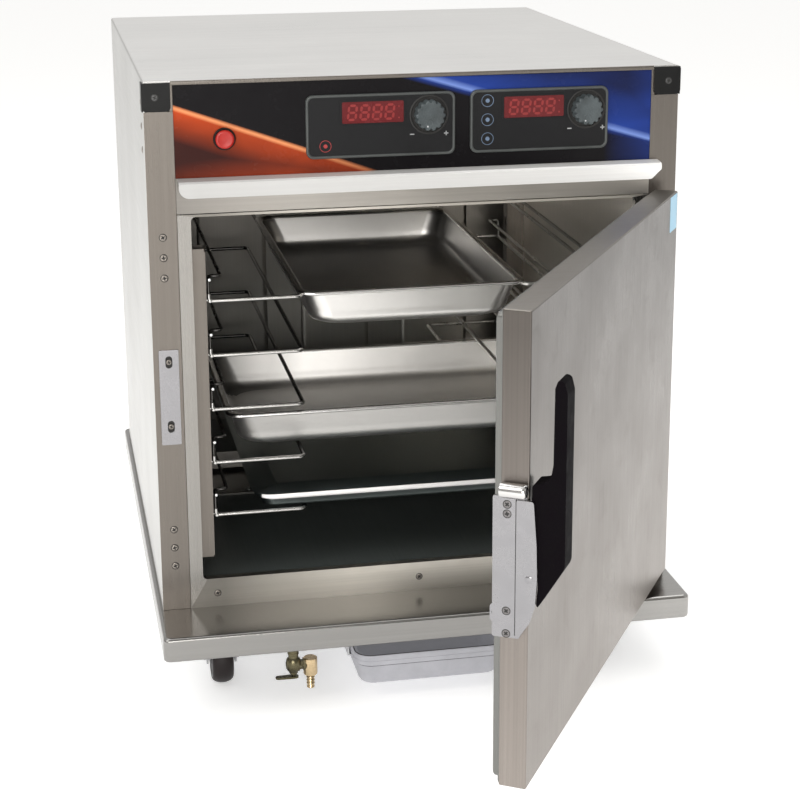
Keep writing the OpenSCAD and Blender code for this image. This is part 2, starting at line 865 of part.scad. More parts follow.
// Inner pan of the door, standing out towards the cabinet
module door_liner() {
    rise = 8;
    inset = 6;
    low = [door_free_x + inset, door_back_y - 1.2, door_z + inset];
    high = [door_edge_x - inset, door_back_y + rise, door_z + door_h - inset];
    flange = door_sheet + 0.2;
    color("gray") at_door() difference() {
        union() {
            block(low, high);
            block([door_free_x + flange, door_back_y - 1.2, door_z + flange],
                [door_edge_x - flange, door_back_y, door_z + door_h - flange]);
        }
        block(low + [1.5, -1, 1.5], high - [1.5, 1.5, 1.5]);
    }
}

module door_insulation() {
    gap = door_sheet + 0.5;
    color("khaki") at_door() block([door_free_x + gap, door_face_y + gap, door_z + gap],
        [door_edge_x - gap, door_back_y - 1.5, door_z + door_h - gap]);
}

module door_gasket() {
    y0 = door_back_y + 8;
    low = [-326, y0, door_z + 10];
    high = [322, -0.4, seam_z - 1];
    color("dimgray") at_door() difference() {
        block(low, high);
        block(low + [10, -1, 10], high + [-10, 1, -10]);
    }
}

// ---------- Latch, drawn with the door closed ----------

// Plate on the door's free edge, with an ear and rivet for the lever and a round spring barrel on top
module latch_plate() {
    barrel_r = 8.5;
    barrel_z = latch_z + latch_h + 10;
    color("lightsteelblue") at_door() difference() {
        union() {
            block([door_free_x - sheet, door_face_y + 1, latch_z], [door_free_x, -6, latch_z + latch_h]);
            bar_x(door_free_x - sheet, door_free_x, pivot_y, pivot_z, 9);
            bar_x(lever_x - lever_t - 0.5, door_free_x - sheet, pivot_y, pivot_z, 3);
            bar_x(lever_x - lever_t - 1.6, lever_x - lever_t - 0.4, pivot_y, pivot_z, 4.5);
            bar_y(door_free_x - barrel_r - 0.2, barrel_z, door_face_y, door_face_y + 31, barrel_r);
            block([door_free_x - sheet, door_face_y + 2, latch_z + latch_h], [door_free_x - 0.2, door_face_y + 29, barrel_z]);
        }
        for (h = latch_screw_h) {
            bar_x(door_free_x - 5, door_free_x + 1, latch_screw_y, shelf_z + h, screw_r + 0.2);
            bar_x(door_free_x - 5, door_free_x - sheet + 1.2, latch_screw_y, shelf_z + h, screw_head_r + 0.2);
        }
    }
}

module latch_screws() {
    color("gray") at_door() for (h = latch_screw_h) {
        bar_x(door_free_x - sheet, door_free_x - sheet + 1.1, latch_screw_y, shelf_z + h, screw_head_r);
        bar_x(door_free_x - sheet + 1, door_free_x - 0.2, latch_screw_y, shelf_z + h, screw_r);
    }
}

// Tongue that stands behind the strike when the door is shut, and lifts clear as the lever is pulled
module latch_bolt() {
    color("silver") at_door() difference() {
        block([door_free_x + 0.5, door_back_y + 0.5, shelf_z + 216], [door_free_x + 5.4, -2.6, shelf_z + 238]);
        bar_x(door_free_x - 1, door_free_x + 7, -7, shelf_z + 227, 2.2);
    }
}

// Outline in the plane of the door's free edge: distance out from the door's face, height above the base
function edge_points(outline) = [for (p = outline) [door_face_y - p[0], shelf_z + p[1]]];

module edge_extrude(width) {
    rotate([90, 0, 90]) linear_extrude(width) children();
}

module lever_arm() {
    outline = [[-13, 200], [-9, 203], [2, 222], [8, 244], [10, 274], [9, 314], [6, 364.5], [-13, 364.5]];
    color("lightsteelblue") at_door() difference() {
        translate([lever_x - lever_t, 0, 0]) edge_extrude(lever_t) polygon(edge_points(outline));
        bar_x(lever_x - 10, lever_x + 10, pivot_y, pivot_z, 3.06);
    }
}

// Black forearm hook, open at the top, fixed to the inner side of the lever
module lever_grip() {
    outline = [[11, 240], [grip_out, 291], [grip_out, 495], [39, 502], [33, 504], [28, 498], [27, 408],
        [25, 395], [19, 387], [11, 381], [4, 379], [4, 366], [11, 314], [12, 274]];
    color("black") at_door() translate([lever_x, 0, 0]) edge_extrude(28) polygon(edge_points(outline));
}

// ---------- Scene ----------

base_tray();
base_closing_plate();
outer_wrap();
back_panel();
front_post_left();
front_post_right();
corner_caps();
control_panel();
drip_visor();
header_rail();
front_frame();
cavity_liner();
wall_insulation();
rack_uprights();
wire_slides();
slide_guard_wires();
strike_plate();
cabinet_screws();
hinge_frame_leaves();
control_module_left();
control_module_right();
display_windows();
switch_bezel();
blower_motor();
fan_guard();
air_heater();
control_board();
water_reservoir();
cord_gland();
drain_valve_body();
drain_elbow();
drip_pan_runners();
caster_plates();
power_button();
knob_left();
knob_right();
blower_wheel();
drain_lever();
drip_pan();
pan_top();
pan_middle();
sheet_pan();
caster_fork_front_left();
caster_fork_front_right();
caster_fork_rear_left();
caster_fork_rear_right();
caster_wheel_front_left();
caster_wheel_front_right();
caster_wheel_rear_left();
caster_wheel_rear_right();
door_skin();
door_liner();
door_insulation();
door_gasket();
hinge_door_leaves();
latch_plate();
latch_screws();
latch_bolt();
lever_arm();
lever_grip();
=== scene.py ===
import json
import math
import random

import bmesh
import bpy
from mathutils import Matrix, Vector
from mathutils.geometry import tessellate_polygon


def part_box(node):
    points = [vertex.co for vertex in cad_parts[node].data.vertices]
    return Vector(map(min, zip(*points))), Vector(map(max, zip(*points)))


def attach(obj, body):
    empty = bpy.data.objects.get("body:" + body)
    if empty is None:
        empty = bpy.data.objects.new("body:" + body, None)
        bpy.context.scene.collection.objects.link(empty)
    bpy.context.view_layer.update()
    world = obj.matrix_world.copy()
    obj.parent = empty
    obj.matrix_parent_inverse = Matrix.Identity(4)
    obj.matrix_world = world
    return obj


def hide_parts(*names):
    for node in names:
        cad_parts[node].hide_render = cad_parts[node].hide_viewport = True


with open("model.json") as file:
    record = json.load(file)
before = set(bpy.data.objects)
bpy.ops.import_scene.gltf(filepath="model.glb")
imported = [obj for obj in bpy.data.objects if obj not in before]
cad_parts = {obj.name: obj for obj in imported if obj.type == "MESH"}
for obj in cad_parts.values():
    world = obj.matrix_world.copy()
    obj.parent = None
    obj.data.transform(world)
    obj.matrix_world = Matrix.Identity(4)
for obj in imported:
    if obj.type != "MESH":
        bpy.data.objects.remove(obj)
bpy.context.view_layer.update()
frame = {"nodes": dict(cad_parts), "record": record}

# Millimetres in the cabinet's own frame: x to the right, y back from the body's front plane, z up from the
# floor.
HALF_W, BODY_D, POST_IN = 367.5, 805.0, 328.5
SHIFT_Y = BODY_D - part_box("outer_wrap")[1][1] * 1000.0
SHELF, TOP, SEAM = 126.0, 871.0, 692.0
PANEL_TOP, PANEL_Z, MODULE_Z = 865.0, 741.0, 803.0
OPEN_HALF, SILL, OPEN_TOP = 310.0, 168.0, 688.0
CAV_FLOOR, CAV_TOP, CAV_HALF, CAV_BACK = 164.0, 701.0, 320.0, 737.0
LEVELS = [251.0 + 78.0 * k for k in range(5)]
PIN, OPEN = (334.4, -15.0), math.radians(58)
DOOR_X0, DOOR_X1, DOOR_Y0, DOOR_Y1, DOOR_Z0, DOOR_Z1 = -360.0, 330.0, -47.0, -13.0, 142.0, 702.0
DOOR_BODIES = ("door", "handle", "latch_bolt")
SIDES = ((-1, "left"), (1, "right"))
# Centre and width of each control module, and the centre of its display
MODULES = (("left", -51, 204, -62), ("right", 169, 194, 161))
SWITCH = (-262, MODULE_Z - 11)
STRIKE_X, STRIKE_SLOTS = -346.5, (SHELF + 271, SHELF + 363)
# Where the camera stands, its tilt, roll and turn in degrees, and its focal length in pixels of an 800 wide
# image
CAMERA_AT, TILT, ROLL, TURN, FOCAL = (-515.7, -2491.4, 1088.8 + SHELF), 15.1, 0.3, -11.2, 1899.5


# ---------------------------------------------------------------- camera, light and floor

def camera():
    data = bpy.data.cameras.new("camera")
    cam = bpy.data.objects.new("camera", data)
    bpy.context.scene.collection.objects.link(cam)
    data.sensor_width = 36.0
    data.lens = FOCAL / 800 * data.sensor_width
    data.shift_y = -0.1
    cam.location = (CAMERA_AT[0] / 1000, (CAMERA_AT[1] - SHIFT_Y) / 1000, CAMERA_AT[2] / 1000)
    cam.rotation_euler = (math.radians(90 - TILT), math.radians(ROLL), math.radians(TURN))
    bpy.context.scene.camera = cam


def area(name, at, aim, size, power, colour=(1, 1, 1)):
    data = bpy.data.lights.new(name, "AREA")
    data.shape = "RECTANGLE"
    data.size, data.size_y = size
    data.energy = power
    data.color = colour
    lamp = bpy.data.objects.new(name, data)
    bpy.context.scene.collection.objects.link(lamp)
    lamp.location = at
    lamp.rotation_euler = (Vector(aim) - Vector(at)).to_track_quat("-Z", "Y").to_euler()


def room():
    """A pale room that is a little darker in front of the object, where the photographer would stand."""
    world = bpy.data.worlds.new("studio")
    bpy.context.scene.world = world
    world.use_nodes = True
    tree = world.node_tree
    coords = tree.nodes.new("ShaderNodeTexCoord")
    split = tree.nodes.new("ShaderNodeSeparateXYZ")
    spread = tree.nodes.new("ShaderNodeMapRange")
    ramp = tree.nodes.new("ShaderNodeValToRGB")
    tree.links.new(coords.outputs["Generated"], split.inputs[0])
    tree.links.new(split.outputs[1], spread.inputs["Value"])
    tree.links.new(spread.outputs[0], ramp.inputs["Fac"])
    spread.inputs["From Min"].default_value, spread.inputs["From Max"].default_value = -1.0, 1.0
    dark, light = ramp.color_ramp.elements[:2]
    dark.position, dark.color = 0.08, (0.40, 0.385, 0.36, 1)
    light.position, light.color = 0.62, (1.0, 0.995, 0.98, 1)
    background = tree.nodes["Background"]
    tree.links.new(ramp.outputs[0], background.inputs["Color"])
    background.inputs["Strength"].default_value = 0.75


def ground():
    floor = bpy.data.meshes.new("floor")
    floor.from_pydata([(-25, -25, 0), (25, -25, 0), (25, 25, 0), (-25, 25, 0)], [], [(0, 1, 2, 3)])
    obj = bpy.data.objects.new("floor", floor)
    bpy.context.scene.collection.objects.link(obj)
    obj.location.z = -0.0005
    mat = bpy.data.materials.new("floor")
    mat.use_nodes = True
    sockets = mat.node_tree.nodes["Principled BSDF"].inputs
    sockets["Base Color"].default_value = (0.93, 0.93, 0.925, 1)
    sockets["Roughness"].default_value = 0.8
    sockets["Emission Color"].default_value = (1, 1, 1, 1)
    sockets["Emission Strength"].default_value = 0.38
    floor.materials.append(mat)


def studio():
    bpy.context.scene.view_settings.view_transform = "Standard"
    room()
    area("key", (-3.0, -1.6, 3.6), (0, 0, 0.4), (2.4, 2.4), 60, (1, 0.99, 0.97))
    area("fill", (3.2, -2.6, 2.0), (0, 0, 0.4), (1.6, 2.6), 10)
    area("front", (-1.1, -4.2, 1.45), (0, 0, 0.5), (2.4, 1.3), 90, (1, 0.985, 0.965))
    area("top", (0.2, 0.9, 3.6), (0, 0.1, 0), (3.4, 3.0), 50)
    ground()


# ---------------------------------------------------------------- materials

class Nodes:
    """A Principled material whose sockets are fed by procedural textures in the object's own coordinates."""

    def __init__(self, name, colour, metallic, rough, **sockets):
        self.mat = bpy.data.materials.new(name)
        self.mat.use_nodes = True
        self.tree = self.mat.node_tree
        self.bsdf = self.tree.nodes["Principled BSDF"]
        self.bsdf.inputs["Base Color"].default_value = (*colour, 1)
        self.bsdf.inputs["Metallic"].default_value = metallic
        self.bsdf.inputs["Roughness"].default_value = rough
        for key, value in sockets.items():
            self.bsdf.inputs[key.replace("_", " ")].default_value = value
        self.coords = self.tree.nodes.new("ShaderNodeTexCoord").outputs["Object"]
        self.last_bump = None

    def link(self, a, b):
        self.tree.links.new(a, b)

    def scaled(self, scale):
        mapping = self.tree.nodes.new("ShaderNodeMapping")
        mapping.inputs["Scale"].default_value = scale if hasattr(scale, "__len__") else (scale,) * 3
        self.link(self.coords, mapping.inputs["Vector"])
        return mapping.outputs[0]

    def noise(self, scale, detail=3.0, rough=0.55, distortion=0.0):
        tex = self.tree.nodes.new("ShaderNodeTexNoise")
        tex.inputs["Scale"].default_value = 1.0
        tex.inputs["Detail"].default_value = detail
        tex.inputs["Roughness"].default_value = rough
        tex.inputs["Distortion"].default_value = distortion
        self.link(self.scaled(scale), tex.inputs["Vector"])
        return tex.outputs["Fac"]

    def ramp(self, fac, low, high, at=(0.3, 0.7)):
        """fac mapped to values or colours between low and high."""
        colour = hasattr(low, "__len__")
        node = self.tree.nodes.new("ShaderNodeValToRGB" if colour else "ShaderNodeMapRange")
        if colour:
            node.color_ramp.elements[0].position, node.color_ramp.elements[1].position = at
            node.color_ramp.elements[0].color = (*low, 1)
            node.color_ramp.elements[1].color = (*high, 1)
            self.link(fac, node.inputs["Fac"])
            return node.outputs["Color"]
        node.inputs["From Min"].default_value, node.inputs["From Max"].default_value = at
        node.inputs["To Min"].default_value, node.inputs["To Max"].default_value = low, high
        self.link(fac, node.inputs["Value"])
        return node.outputs[0]

    def around(self, fac, colour, tone, at=(0.3, 0.7)):
        """The colour, darker and lighter by tone as fac goes."""
        return self.ramp(fac, shade(colour, 1 - tone), shade(colour, 1 + tone), at)

    def math(self, op, a, b):
        node = self.tree.nodes.new("ShaderNodeMath")
        node.operation = op
        for socket, value in zip(node.inputs, (a, b)):
            if isinstance(value, (int, float)):
                socket.default_value = value
            else:
                self.link(value, socket)
        return node.outputs[0]

    def times(self, a, b):
        return self.math("MULTIPLY", a, b)

    def mix(self, fac, a, b):
        node = self.tree.nodes.new("ShaderNodeMix")
        node.data_type = "RGBA"
        for key, value in ((0, fac), (6, a), (7, b)):
            if isinstance(value, (int, float)):
                node.inputs[key].default_value = value
            elif isinstance(value, tuple):
                node.inputs[key].default_value = (*value, 1)
            else:
                self.link(value, node.inputs[key])
        return node.outputs[2]

    def bump(self, height, strength, distance):
        node = self.tree.nodes.new("ShaderNodeBump")
        node.inputs["Strength"].default_value = strength
        node.inputs["Distance"].default_value = distance
        self.link(height, node.inputs["Height"])
        if self.last_bump:
            self.link(self.last_bump, node.inputs["Normal"])
        self.last_bump = node.outputs[0]
        self.link(self.last_bump, self.bsdf.inputs["Normal"])

    def place(self):
        split = self.tree.nodes.new("ShaderNodeSeparateXYZ")
        self.link(self.coords, split.inputs[0])
        return split.outputs

    def graded(self, colour, grade):
        """The colour scaled along one axis of the object for painted light and shade, or the colour itself
        without a grade.
        """
        if not grade:
            return colour
        axis, low, high, first, second = grade
        factor = self.ramp(self.place()["XYZ".index(axis)], first, second, (low, high))
        return self.mix(factor, (0.0, 0.0, 0.0), colour)

    def set(self, socket, value):
        self.link(value, self.bsdf.inputs[socket])


def shade(colour, k):
    return tuple(min(1.0, c * k) for c in colour)


def steel(name, colour, rough, grain, spread=0.10, bump=0.12, tone=0.06, smudge=0.07, metallic=1.0,
          grade=None):
    """Brushed metal: fine lines along the axis where grain is smallest, with faint smudges and tone changes.
    grade, which paints light and shade, is an axis and the two places along it, in metres, between which the
    tone goes from its first factor to its second."""
    n = Nodes(name, colour, metallic, rough)
    lines = n.noise(grain, 5, 0.7)
    coarse = n.noise(tuple(g * 0.22 for g in grain), 3, 0.6)
    cloud = n.noise(5.5, 3, 0.6)
    marks = n.noise(23.0, 4, 0.65, 0.6)
    grey = n.ramp(lines, rough - spread / 2, rough + spread / 2)
    value = n.math("ADD", grey, n.ramp(cloud, -smudge / 2, smudge / 2))
    n.set("Roughness", n.math("ADD", value, n.ramp(marks, 0.0, smudge * 0.6, (0.55, 0.8))))
    colours = n.mix(n.ramp(cloud, 0.0, 0.5), n.around(coarse, colour, tone), shade(colour, 1 - tone * 0.7))
    n.set("Base Color", n.graded(colours, grade))
    n.bump(lines, bump, 0.00035)
    n.bump(cloud, 0.25, 0.0006)
    return n.mat


def metal(name, colour, rough, cell=900.0, bump=0.15, spread=0.1, tone=0.1, blotch=0.05, metallic=1.0,
          grade=None):
    """Cast, plated or satin metal with no direction, graded as steel is."""
    n = Nodes(name, colour, metallic, rough)
    fine = n.noise(cell, 3, 0.6)
    cloud = n.noise(28.0, 4, 0.6, 0.4)
    grey = n.ramp(fine, rough - spread / 2, rough + spread / 2)
    n.set("Roughness", n.math("ADD", grey, n.ramp(cloud, -blotch, blotch)))
    n.set("Base Color", n.graded(n.around(cloud, colour, tone), grade))
    n.bump(fine, bump, 0.0002)
    return n.mat


def satin(name, colour, rough, grade):
    """Drawn steel of the deep pans."""
    return metal(name, colour, rough, 1400, 0.05, 0.05, 0.02, 0.015, grade=grade)


def plastic(name, colour, rough, cell=1500.0, bump=0.2, tone=0.15, **sockets):
    n = Nodes(name, colour, 0.0, rough, **sockets)
    fine = n.noise(cell, 2, 0.5)
    cloud = n.noise(35.0, 4, 0.6)
    n.set("Roughness", n.math("ADD", n.ramp(cloud, rough - 0.05, rough + 0.07), n.ramp(fine, -0.03, 0.03)))
    n.set("Base Color", n.around(cloud, colour, tone))
    n.bump(fine, bump, 0.0003)
    return n.mat


def pebble(name, colour, rough):
    """Moulded grip with a fine leather-like texture."""
    n = Nodes(name, colour, 0.0, rough, Specular_IOR_Level=0.06)
    cells = n.tree.nodes.new("ShaderNodeTexVoronoi")
    cells.inputs["Scale"].default_value = 1.0
    n.link(n.scaled(620.0), cells.inputs["Vector"])
    cloud = n.noise(60.0, 4)
    n.set("Roughness", n.ramp(cloud, rough - 0.08, rough + 0.1))
    n.set("Base Color", n.ramp(cloud, shade(colour, 0.8), shade(colour, 1.25)))
    n.bump(cells.outputs["Distance"], 0.5, 0.0003)
    return n.mat


def glow(name, colour, strength, rough=0.3):
    n = Nodes(name, colour, 0.0, rough, Emission_Color=(*colour, 1), Emission_Strength=strength)
    cloud = n.noise(120.0, 3)
    n.set("Base Color", n.ramp(cloud, shade(colour, 0.85), shade(colour, 1.1)))
    n.bump(cloud, 0.1, 0.0002)
    return n.mat


def panel_art(name, black):
    """Gloss black overlay crossed by a straight warm beam at one end and a cool one at the other."""
    n = Nodes(name, black, 0.0, 0.24, Specular_IOR_Level=0.12)
    x, _, z = n.place()
    mist = n.noise((6.0, 5.0, 14.0), 3, 0.5, 0.4)
    # The warm beam falls to the right: bright along its upper edge, dim under it, glowing again at the bottom
    slope = n.math("ADD", z, n.times(x, 0.36))
    fade = n.times(n.ramp(slope, 1.0, 0.0, (0.7165, 0.7215)), n.ramp(x, 1.0, 0.0, (-0.16, -0.01)))
    near = n.ramp(slope, 0.06, 0.9, (0.672, 0.721))
    low = n.times(n.ramp(z, 0.9, 0.0, (0.722, 0.772)), n.ramp(x, 0.25, 1.0, (-0.33, -0.2)))
    warm = n.times(n.times(n.math("MAXIMUM", near, low), fade), n.ramp(mist, 0.55, 1.15))
    streak = n.times(n.ramp(slope, 0.0, 1.0, (0.7125, 0.7175)), n.times(fade, 0.85))
    # The cool beam falls to the right as well, and lights what lies above it
    rise = n.math("ADD", z, n.times(x, 0.30))
    over = n.times(n.ramp(rise, 0.0, 1.0, (0.858, 0.868)), n.ramp(rise, 0.8, 0.22, (0.868, 0.93)))
    side = n.times(n.ramp(x, 0.0, 0.45, (0.262, 0.325)), n.ramp(z, 0.55, 1.0, (0.72, 0.80)))
    cool = n.times(n.math("MAXIMUM", over, side), n.ramp(mist, 0.5, 1.0))
    ray = n.times(n.ramp(rise, 0.0, 1.0, (0.864, 0.868)), n.ramp(rise, 0.8, 0.0, (0.868, 0.876)))
    base = n.mix(warm, black, (0.62, 0.075, 0.014))
    base = n.mix(streak, base, (0.95, 0.40, 0.17))
    base = n.mix(cool, base, (0.022, 0.070, 0.42))
    base = n.mix(n.times(ray, 0.7), base, (0.30, 0.44, 0.90))
    n.set("Base Color", base)
    n.bump(n.noise(1300.0, 2), 0.04, 0.0001)
    n.set("Roughness", n.ramp(n.noise(30.0, 4), 0.20, 0.30))
    return n.mat


VERTICAL, ALONG_X, ALONG_Y = (1500.0, 1500.0, 9.0), (9.0, 1500.0, 1500.0), (1500.0, 9.0, 1500.0)
EVEN = (0.06, 0.05, 0.05, 0.05)
PAN = (0.92, 0.90, 0.87)
MATS = {}


def add(kind, name, *values, **settings):
    MATS[name] = kind(name, *values, **settings)


def sheet_metals():
    add(steel, "stainless", (0.178, 0.160, 0.142), 0.30, VERTICAL)
    # Painted shade: the door's steel darkens towards its top
    add(steel, "stainless_door", (0.315, 0.282, 0.257), 0.30, VERTICAL, tone=0.09, smudge=0.1,
        grade=("Z", 0.12, 0.68, 1.0, 0.36))
    add(steel, "stainless_back", (0.50, 0.49, 0.475), 0.34, VERTICAL)
    add(steel, "stainless_edge", (0.265, 0.248, 0.225), 0.42, ALONG_X, tone=0.05)
    # Painted light and shade: the base tray's steel is darker everywhere but at its right end
    add(steel, "stainless_base", (0.42, 0.41, 0.395), 0.22, ALONG_X, *EVEN,
        grade=("X", 0.2, 0.34, 0.714, 1.0))
    # Painted light and shade: the jambs get their own tone of the frame's steel
    add(steel, "stainless_jamb", (0.29, 0.278, 0.26), 0.26, VERTICAL)
    # Painted shade: the header's steel darkens towards its left end
    add(steel, "stainless_x", (0.60, 0.565, 0.52), 0.36, ALONG_X, grade=("X", -0.33, -0.02, 0.36, 1.0))
    # Painted shade: the frame's front steel darkens towards the left
    add(steel, "stainless_sill", (0.74, 0.70, 0.63), 0.40, ALONG_X, grade=("X", -0.28, -0.1, 0.30, 1.0))
    # Painted light: the wrap's top and its sides are lighter and darker copies of one steel
    add(steel, "stainless_top", (0.74, 0.73, 0.715), 0.34, ALONG_X)
    add(steel, "stainless_side", (0.52, 0.515, 0.50), 0.36, ALONG_Y)
    add(steel, "stainless_polished", (0.30, 0.293, 0.282), 0.20, ALONG_X, *EVEN)
    # Painted sheen: a near-white copy of the steel for the light the visor's face reflects, darker to its
    # left
    add(steel, "visor_bright", (0.96, 0.955, 0.94), 0.40, ALONG_X, 0.05, 0.04, 0.03, 0.03, 0.25,
        ("X", -0.30, 0.30, 0.52, 1.0))
    add(steel, "stainless_cavity", (0.30, 0.285, 0.265), 0.30, VERTICAL, 0.08, 0.08)
    # Painted light and shade: the liner's walls are a light copy of its steel and its back a darker one, both
    # darker to the left
    add(steel, "cavity_walls", (0.92, 0.88, 0.82), 0.31, VERTICAL, 0.05, 0.03, 0.04, 0.05,
        grade=("X", -0.26, 0.22, 0.2, 1.0))
    add(steel, "cavity_back", (0.36, 0.34, 0.31), 0.34, VERTICAL, 0.05, 0.04, 0.05, 0.05,
        grade=("X", -0.27, 0.05, 0.35, 1.0))
    add(steel, "door_inner", (0.20, 0.20, 0.19), 0.34, VERTICAL, 0.08, 0.08)
    add(steel, "cavity_floor", (0.115, 0.13, 0.125), 0.36, ALONG_Y, 0.05, 0.05, 0.1, 0.1, metallic=0.4)


def small_metals():
    # Painted shade: the top pan's steel darkens towards its back and the middle pan's towards its front
    add(satin, "pan_steel", PAN, 0.34, ("Y", -0.07, 0.10, 1.0, 0.60))
    add(satin, "pan_satin", PAN, 0.43, ("Y", -0.035, 0.05, 0.66, 1.0))
    add(satin, "pan_shade", PAN, 0.43, ("X", -0.24, -0.11, 0.28, 1.0))
    add(metal, "pan_rim", (0.86, 0.85, 0.84), 0.2, 1400, 0.05, 0.05, 0.02, 0.01)
    # Painted highlight: a near-white copy of the sheet pan's aluminium for its front rim and left edge
    add(metal, "sheet_rim", (0.95, 0.94, 0.93), 0.45, 1400, 0.05, 0.05, 0.02, 0.01, 0.35)
    # Painted shade: the sheet pan's aluminium gets a dark colour for the shade it lies in
    add(metal, "pan_aluminium", (0.17, 0.20, 0.20), 0.32, 1200, 0.06, 0.05, 0.03, 0.015)
    # Painted highlight: a near-white copy of the chrome for the front ends of the guard wires
    add(metal, "wire_end", (0.93, 0.93, 0.92), 0.45, 900, 0.05, 0.05, 0.03)
    # Painted shade: the chrome of the left slides turns dark a little behind their front bar
    add(metal, "wire_chrome", (0.56, 0.55, 0.53), 0.22, 600, 0.06, 0.06, 0.05,
        grade=("Y", -0.0575, -0.0555, 1.0, 0.15))
    # An even copy of the chrome for the right slides, without the painted shade
    add(metal, "wire_right", (0.50, 0.49, 0.47), 0.3, 600, 0.06, 0.06, 0.05)
    # Painted shade: a dark copy of the chrome for the left guard wires
    add(metal, "wire_dark", (0.12, 0.115, 0.11), 0.25, 600, 0.06, 0.06, 0.05)
    add(metal, "tube_metal", (0.6, 0.6, 0.6), 0.25, 600)
    add(metal, "latch_zinc", (0.295, 0.29, 0.30), 0.26, 700, 0.04, 0.06, 0.05)
    add(metal, "barrel_bright", (0.62, 0.61, 0.60), 0.20, 700, 0.04, 0.04, 0.03)
    # A darker copy of the screw steel, for the latch's screws
    add(metal, "screw_dull", (0.20, 0.19, 0.19), 0.34, 900, 0.1)
    add(metal, "screw_steel", (0.31, 0.28, 0.25), 0.32, 900, 0.1)
    add(metal, "screw_black", (0.10, 0.10, 0.10), 0.35, 900, 0.1)
    add(metal, "galvanised", (0.50, 0.50, 0.51), 0.38, 260, 0.2, 0.14, 0.14)
    add(metal, "heater_sheath", (0.26, 0.21, 0.18), 0.4, 500, 0.15, 0.1, 0.2)
    add(metal, "wheel_aluminium", (0.75, 0.75, 0.76), 0.3, 500, 0.15)
    add(metal, "brass", (0.56, 0.43, 0.26), 0.22, 350, 0.3, 0.14, 0.25)
    add(metal, "brass_dark", (0.13, 0.115, 0.07), 0.30, 260, 0.5, 0.16, 0.5)


def plastics():
    add(plastic, "black_plastic", (0.006, 0.006, 0.006), 0.36, Specular_IOR_Level=0.2)
    add(pebble, "grip_black", (0.0022, 0.0012, 0.0022), 0.68)
    add(panel_art, "panel_black", (0.006, 0.005, 0.006))
    add(plastic, "module_grey", (0.060, 0.066, 0.064), 0.42, 1800, 0.3)
    add(plastic, "module_face", (0.009, 0.009, 0.010), 0.50, 900, 0.5, Specular_IOR_Level=0.22)
    add(plastic, "display_dark", (0.125, 0.008, 0.010), 0.25, 900, 0.02, 0.12, Specular_IOR_Level=0.3)
    # Painted light: the unlit figures glow faintly
    add(glow, "digits", (0.25, 0.014, 0.013), 0.05)
    add(glow, "lens_red", (0.40, 0.010, 0.005), 0.10, 0.34)
    add(plastic, "print_white", (0.50, 0.51, 0.52), 0.4, 1500, 0.1)
    add(plastic, "print_blue", (0.14, 0.20, 0.30), 0.4, 1500, 0.1)
    add(plastic, "print_red", (0.36, 0.03, 0.03), 0.4, 1500, 0.1)
    add(plastic, "knob_grey", (0.058, 0.070, 0.074), 0.50, 520, 1.0, 0.45, Specular_IOR_Level=0.4)
    # Painted light: the drip pan's plastic glows faintly, standing in for light inside the pan
    add(plastic, "drip_plastic", (0.31, 0.31, 0.335), 0.45, 420, 0.5, 0.10,
        Emission_Color=(0.6, 0.6, 0.64, 1), Emission_Strength=0.15)
    add(plastic, "gasket_rubber", (0.035, 0.035, 0.036), 0.6, 700, 0.35)
    add(plastic, "caster_tread", (0.010, 0.006, 0.006), 0.5, 900, 0.3, Specular_IOR_Level=0.3)
    add(plastic, "caster_hub", (0.06, 0.06, 0.063), 0.4, 900, 0.2)
    add(plastic, "insulation_wool", (0.62, 0.53, 0.28), 0.95, 160, 1.0, 0.25)
    add(plastic, "board_green", (0.02, 0.11, 0.045), 0.35, 400, 0.3)
    add(plastic, "motor_paint", (0.05, 0.05, 0.055), 0.45, 500, 0.35)
    add(plastic, "sticker", (0.36, 0.62, 0.80), 0.4, 600, 0.05, 0.03)
    # Painted shade: a near-black laid where recesses, slots, gaps and creases lie in shade
    add(plastic, "dark_gap", (0.012, 0.011, 0.010), 0.6, 600, 0.1)


# ---------------------------------------------------------------- mesh tools, all in millimetres

def at_cabinet(v):
    return Vector((v[0], v[1] - SHIFT_Y, v[2])) / 1000.0


def at_door(v):
    """The door's pieces are drawn closed and turned open about the hinge pin."""
    dx, dy = v[0] - PIN[0], v[1] - PIN[1]
    c, s = math.cos(OPEN), math.sin(OPEN)
    return at_cabinet((PIN[0] + dx * c - dy * s, PIN[1] + dx * s + dy * c, v[2]))


def finish(name, bm, mat, slot=None, body="cabinet", nodes=(), bevel=0.0, segments=2, sharp=38.0, thick=0.0):
    """The drawn mesh as a piece that rides on its body, with edges up to the sharp angle shaded smooth."""
    bmesh.ops.remove_doubles(bm, verts=bm.verts, dist=0.0005)
    bmesh.ops.recalc_face_normals(bm, faces=bm.faces)
    if thick:
        bmesh.ops.solidify(bm, geom=bm.faces[:], thickness=thick)
        bmesh.ops.recalc_face_normals(bm, faces=bm.faces)
    if bevel:
        limit = math.radians(28)
        edges = [e for e in bm.edges if len(e.link_faces) == 2 and e.calc_face_angle(0) > limit]
        bmesh.ops.bevel(bm, geom=edges, offset=bevel, segments=segments, profile=0.5, affect="EDGES",
                        clamp_overlap=True)
    where = at_door if body in DOOR_BODIES else at_cabinet
    for v in bm.verts:
        v.co = where(v.co)
    bm.normal_update()
    for f in bm.faces:
        f.smooth = True
    for e in bm.edges:
        e.smooth = len(e.link_faces) == 2 and e.calc_face_angle(0) < math.radians(sharp)
    mesh = bpy.data.meshes.new(name)
    bm.to_mesh(mesh)
    bm.free()
    mesh.materials.append(MATS[mat])
    obj = bpy.data.objects.new(name, mesh)
    bpy.context.scene.collection.objects.link(obj)
    weights = obj.modifiers.new("weights", "WEIGHTED_NORMAL")
    weights.keep_sharp = True
    weights.weight = 100
    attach(obj, body)
    if nodes:
        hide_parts(*nodes)
    return obj


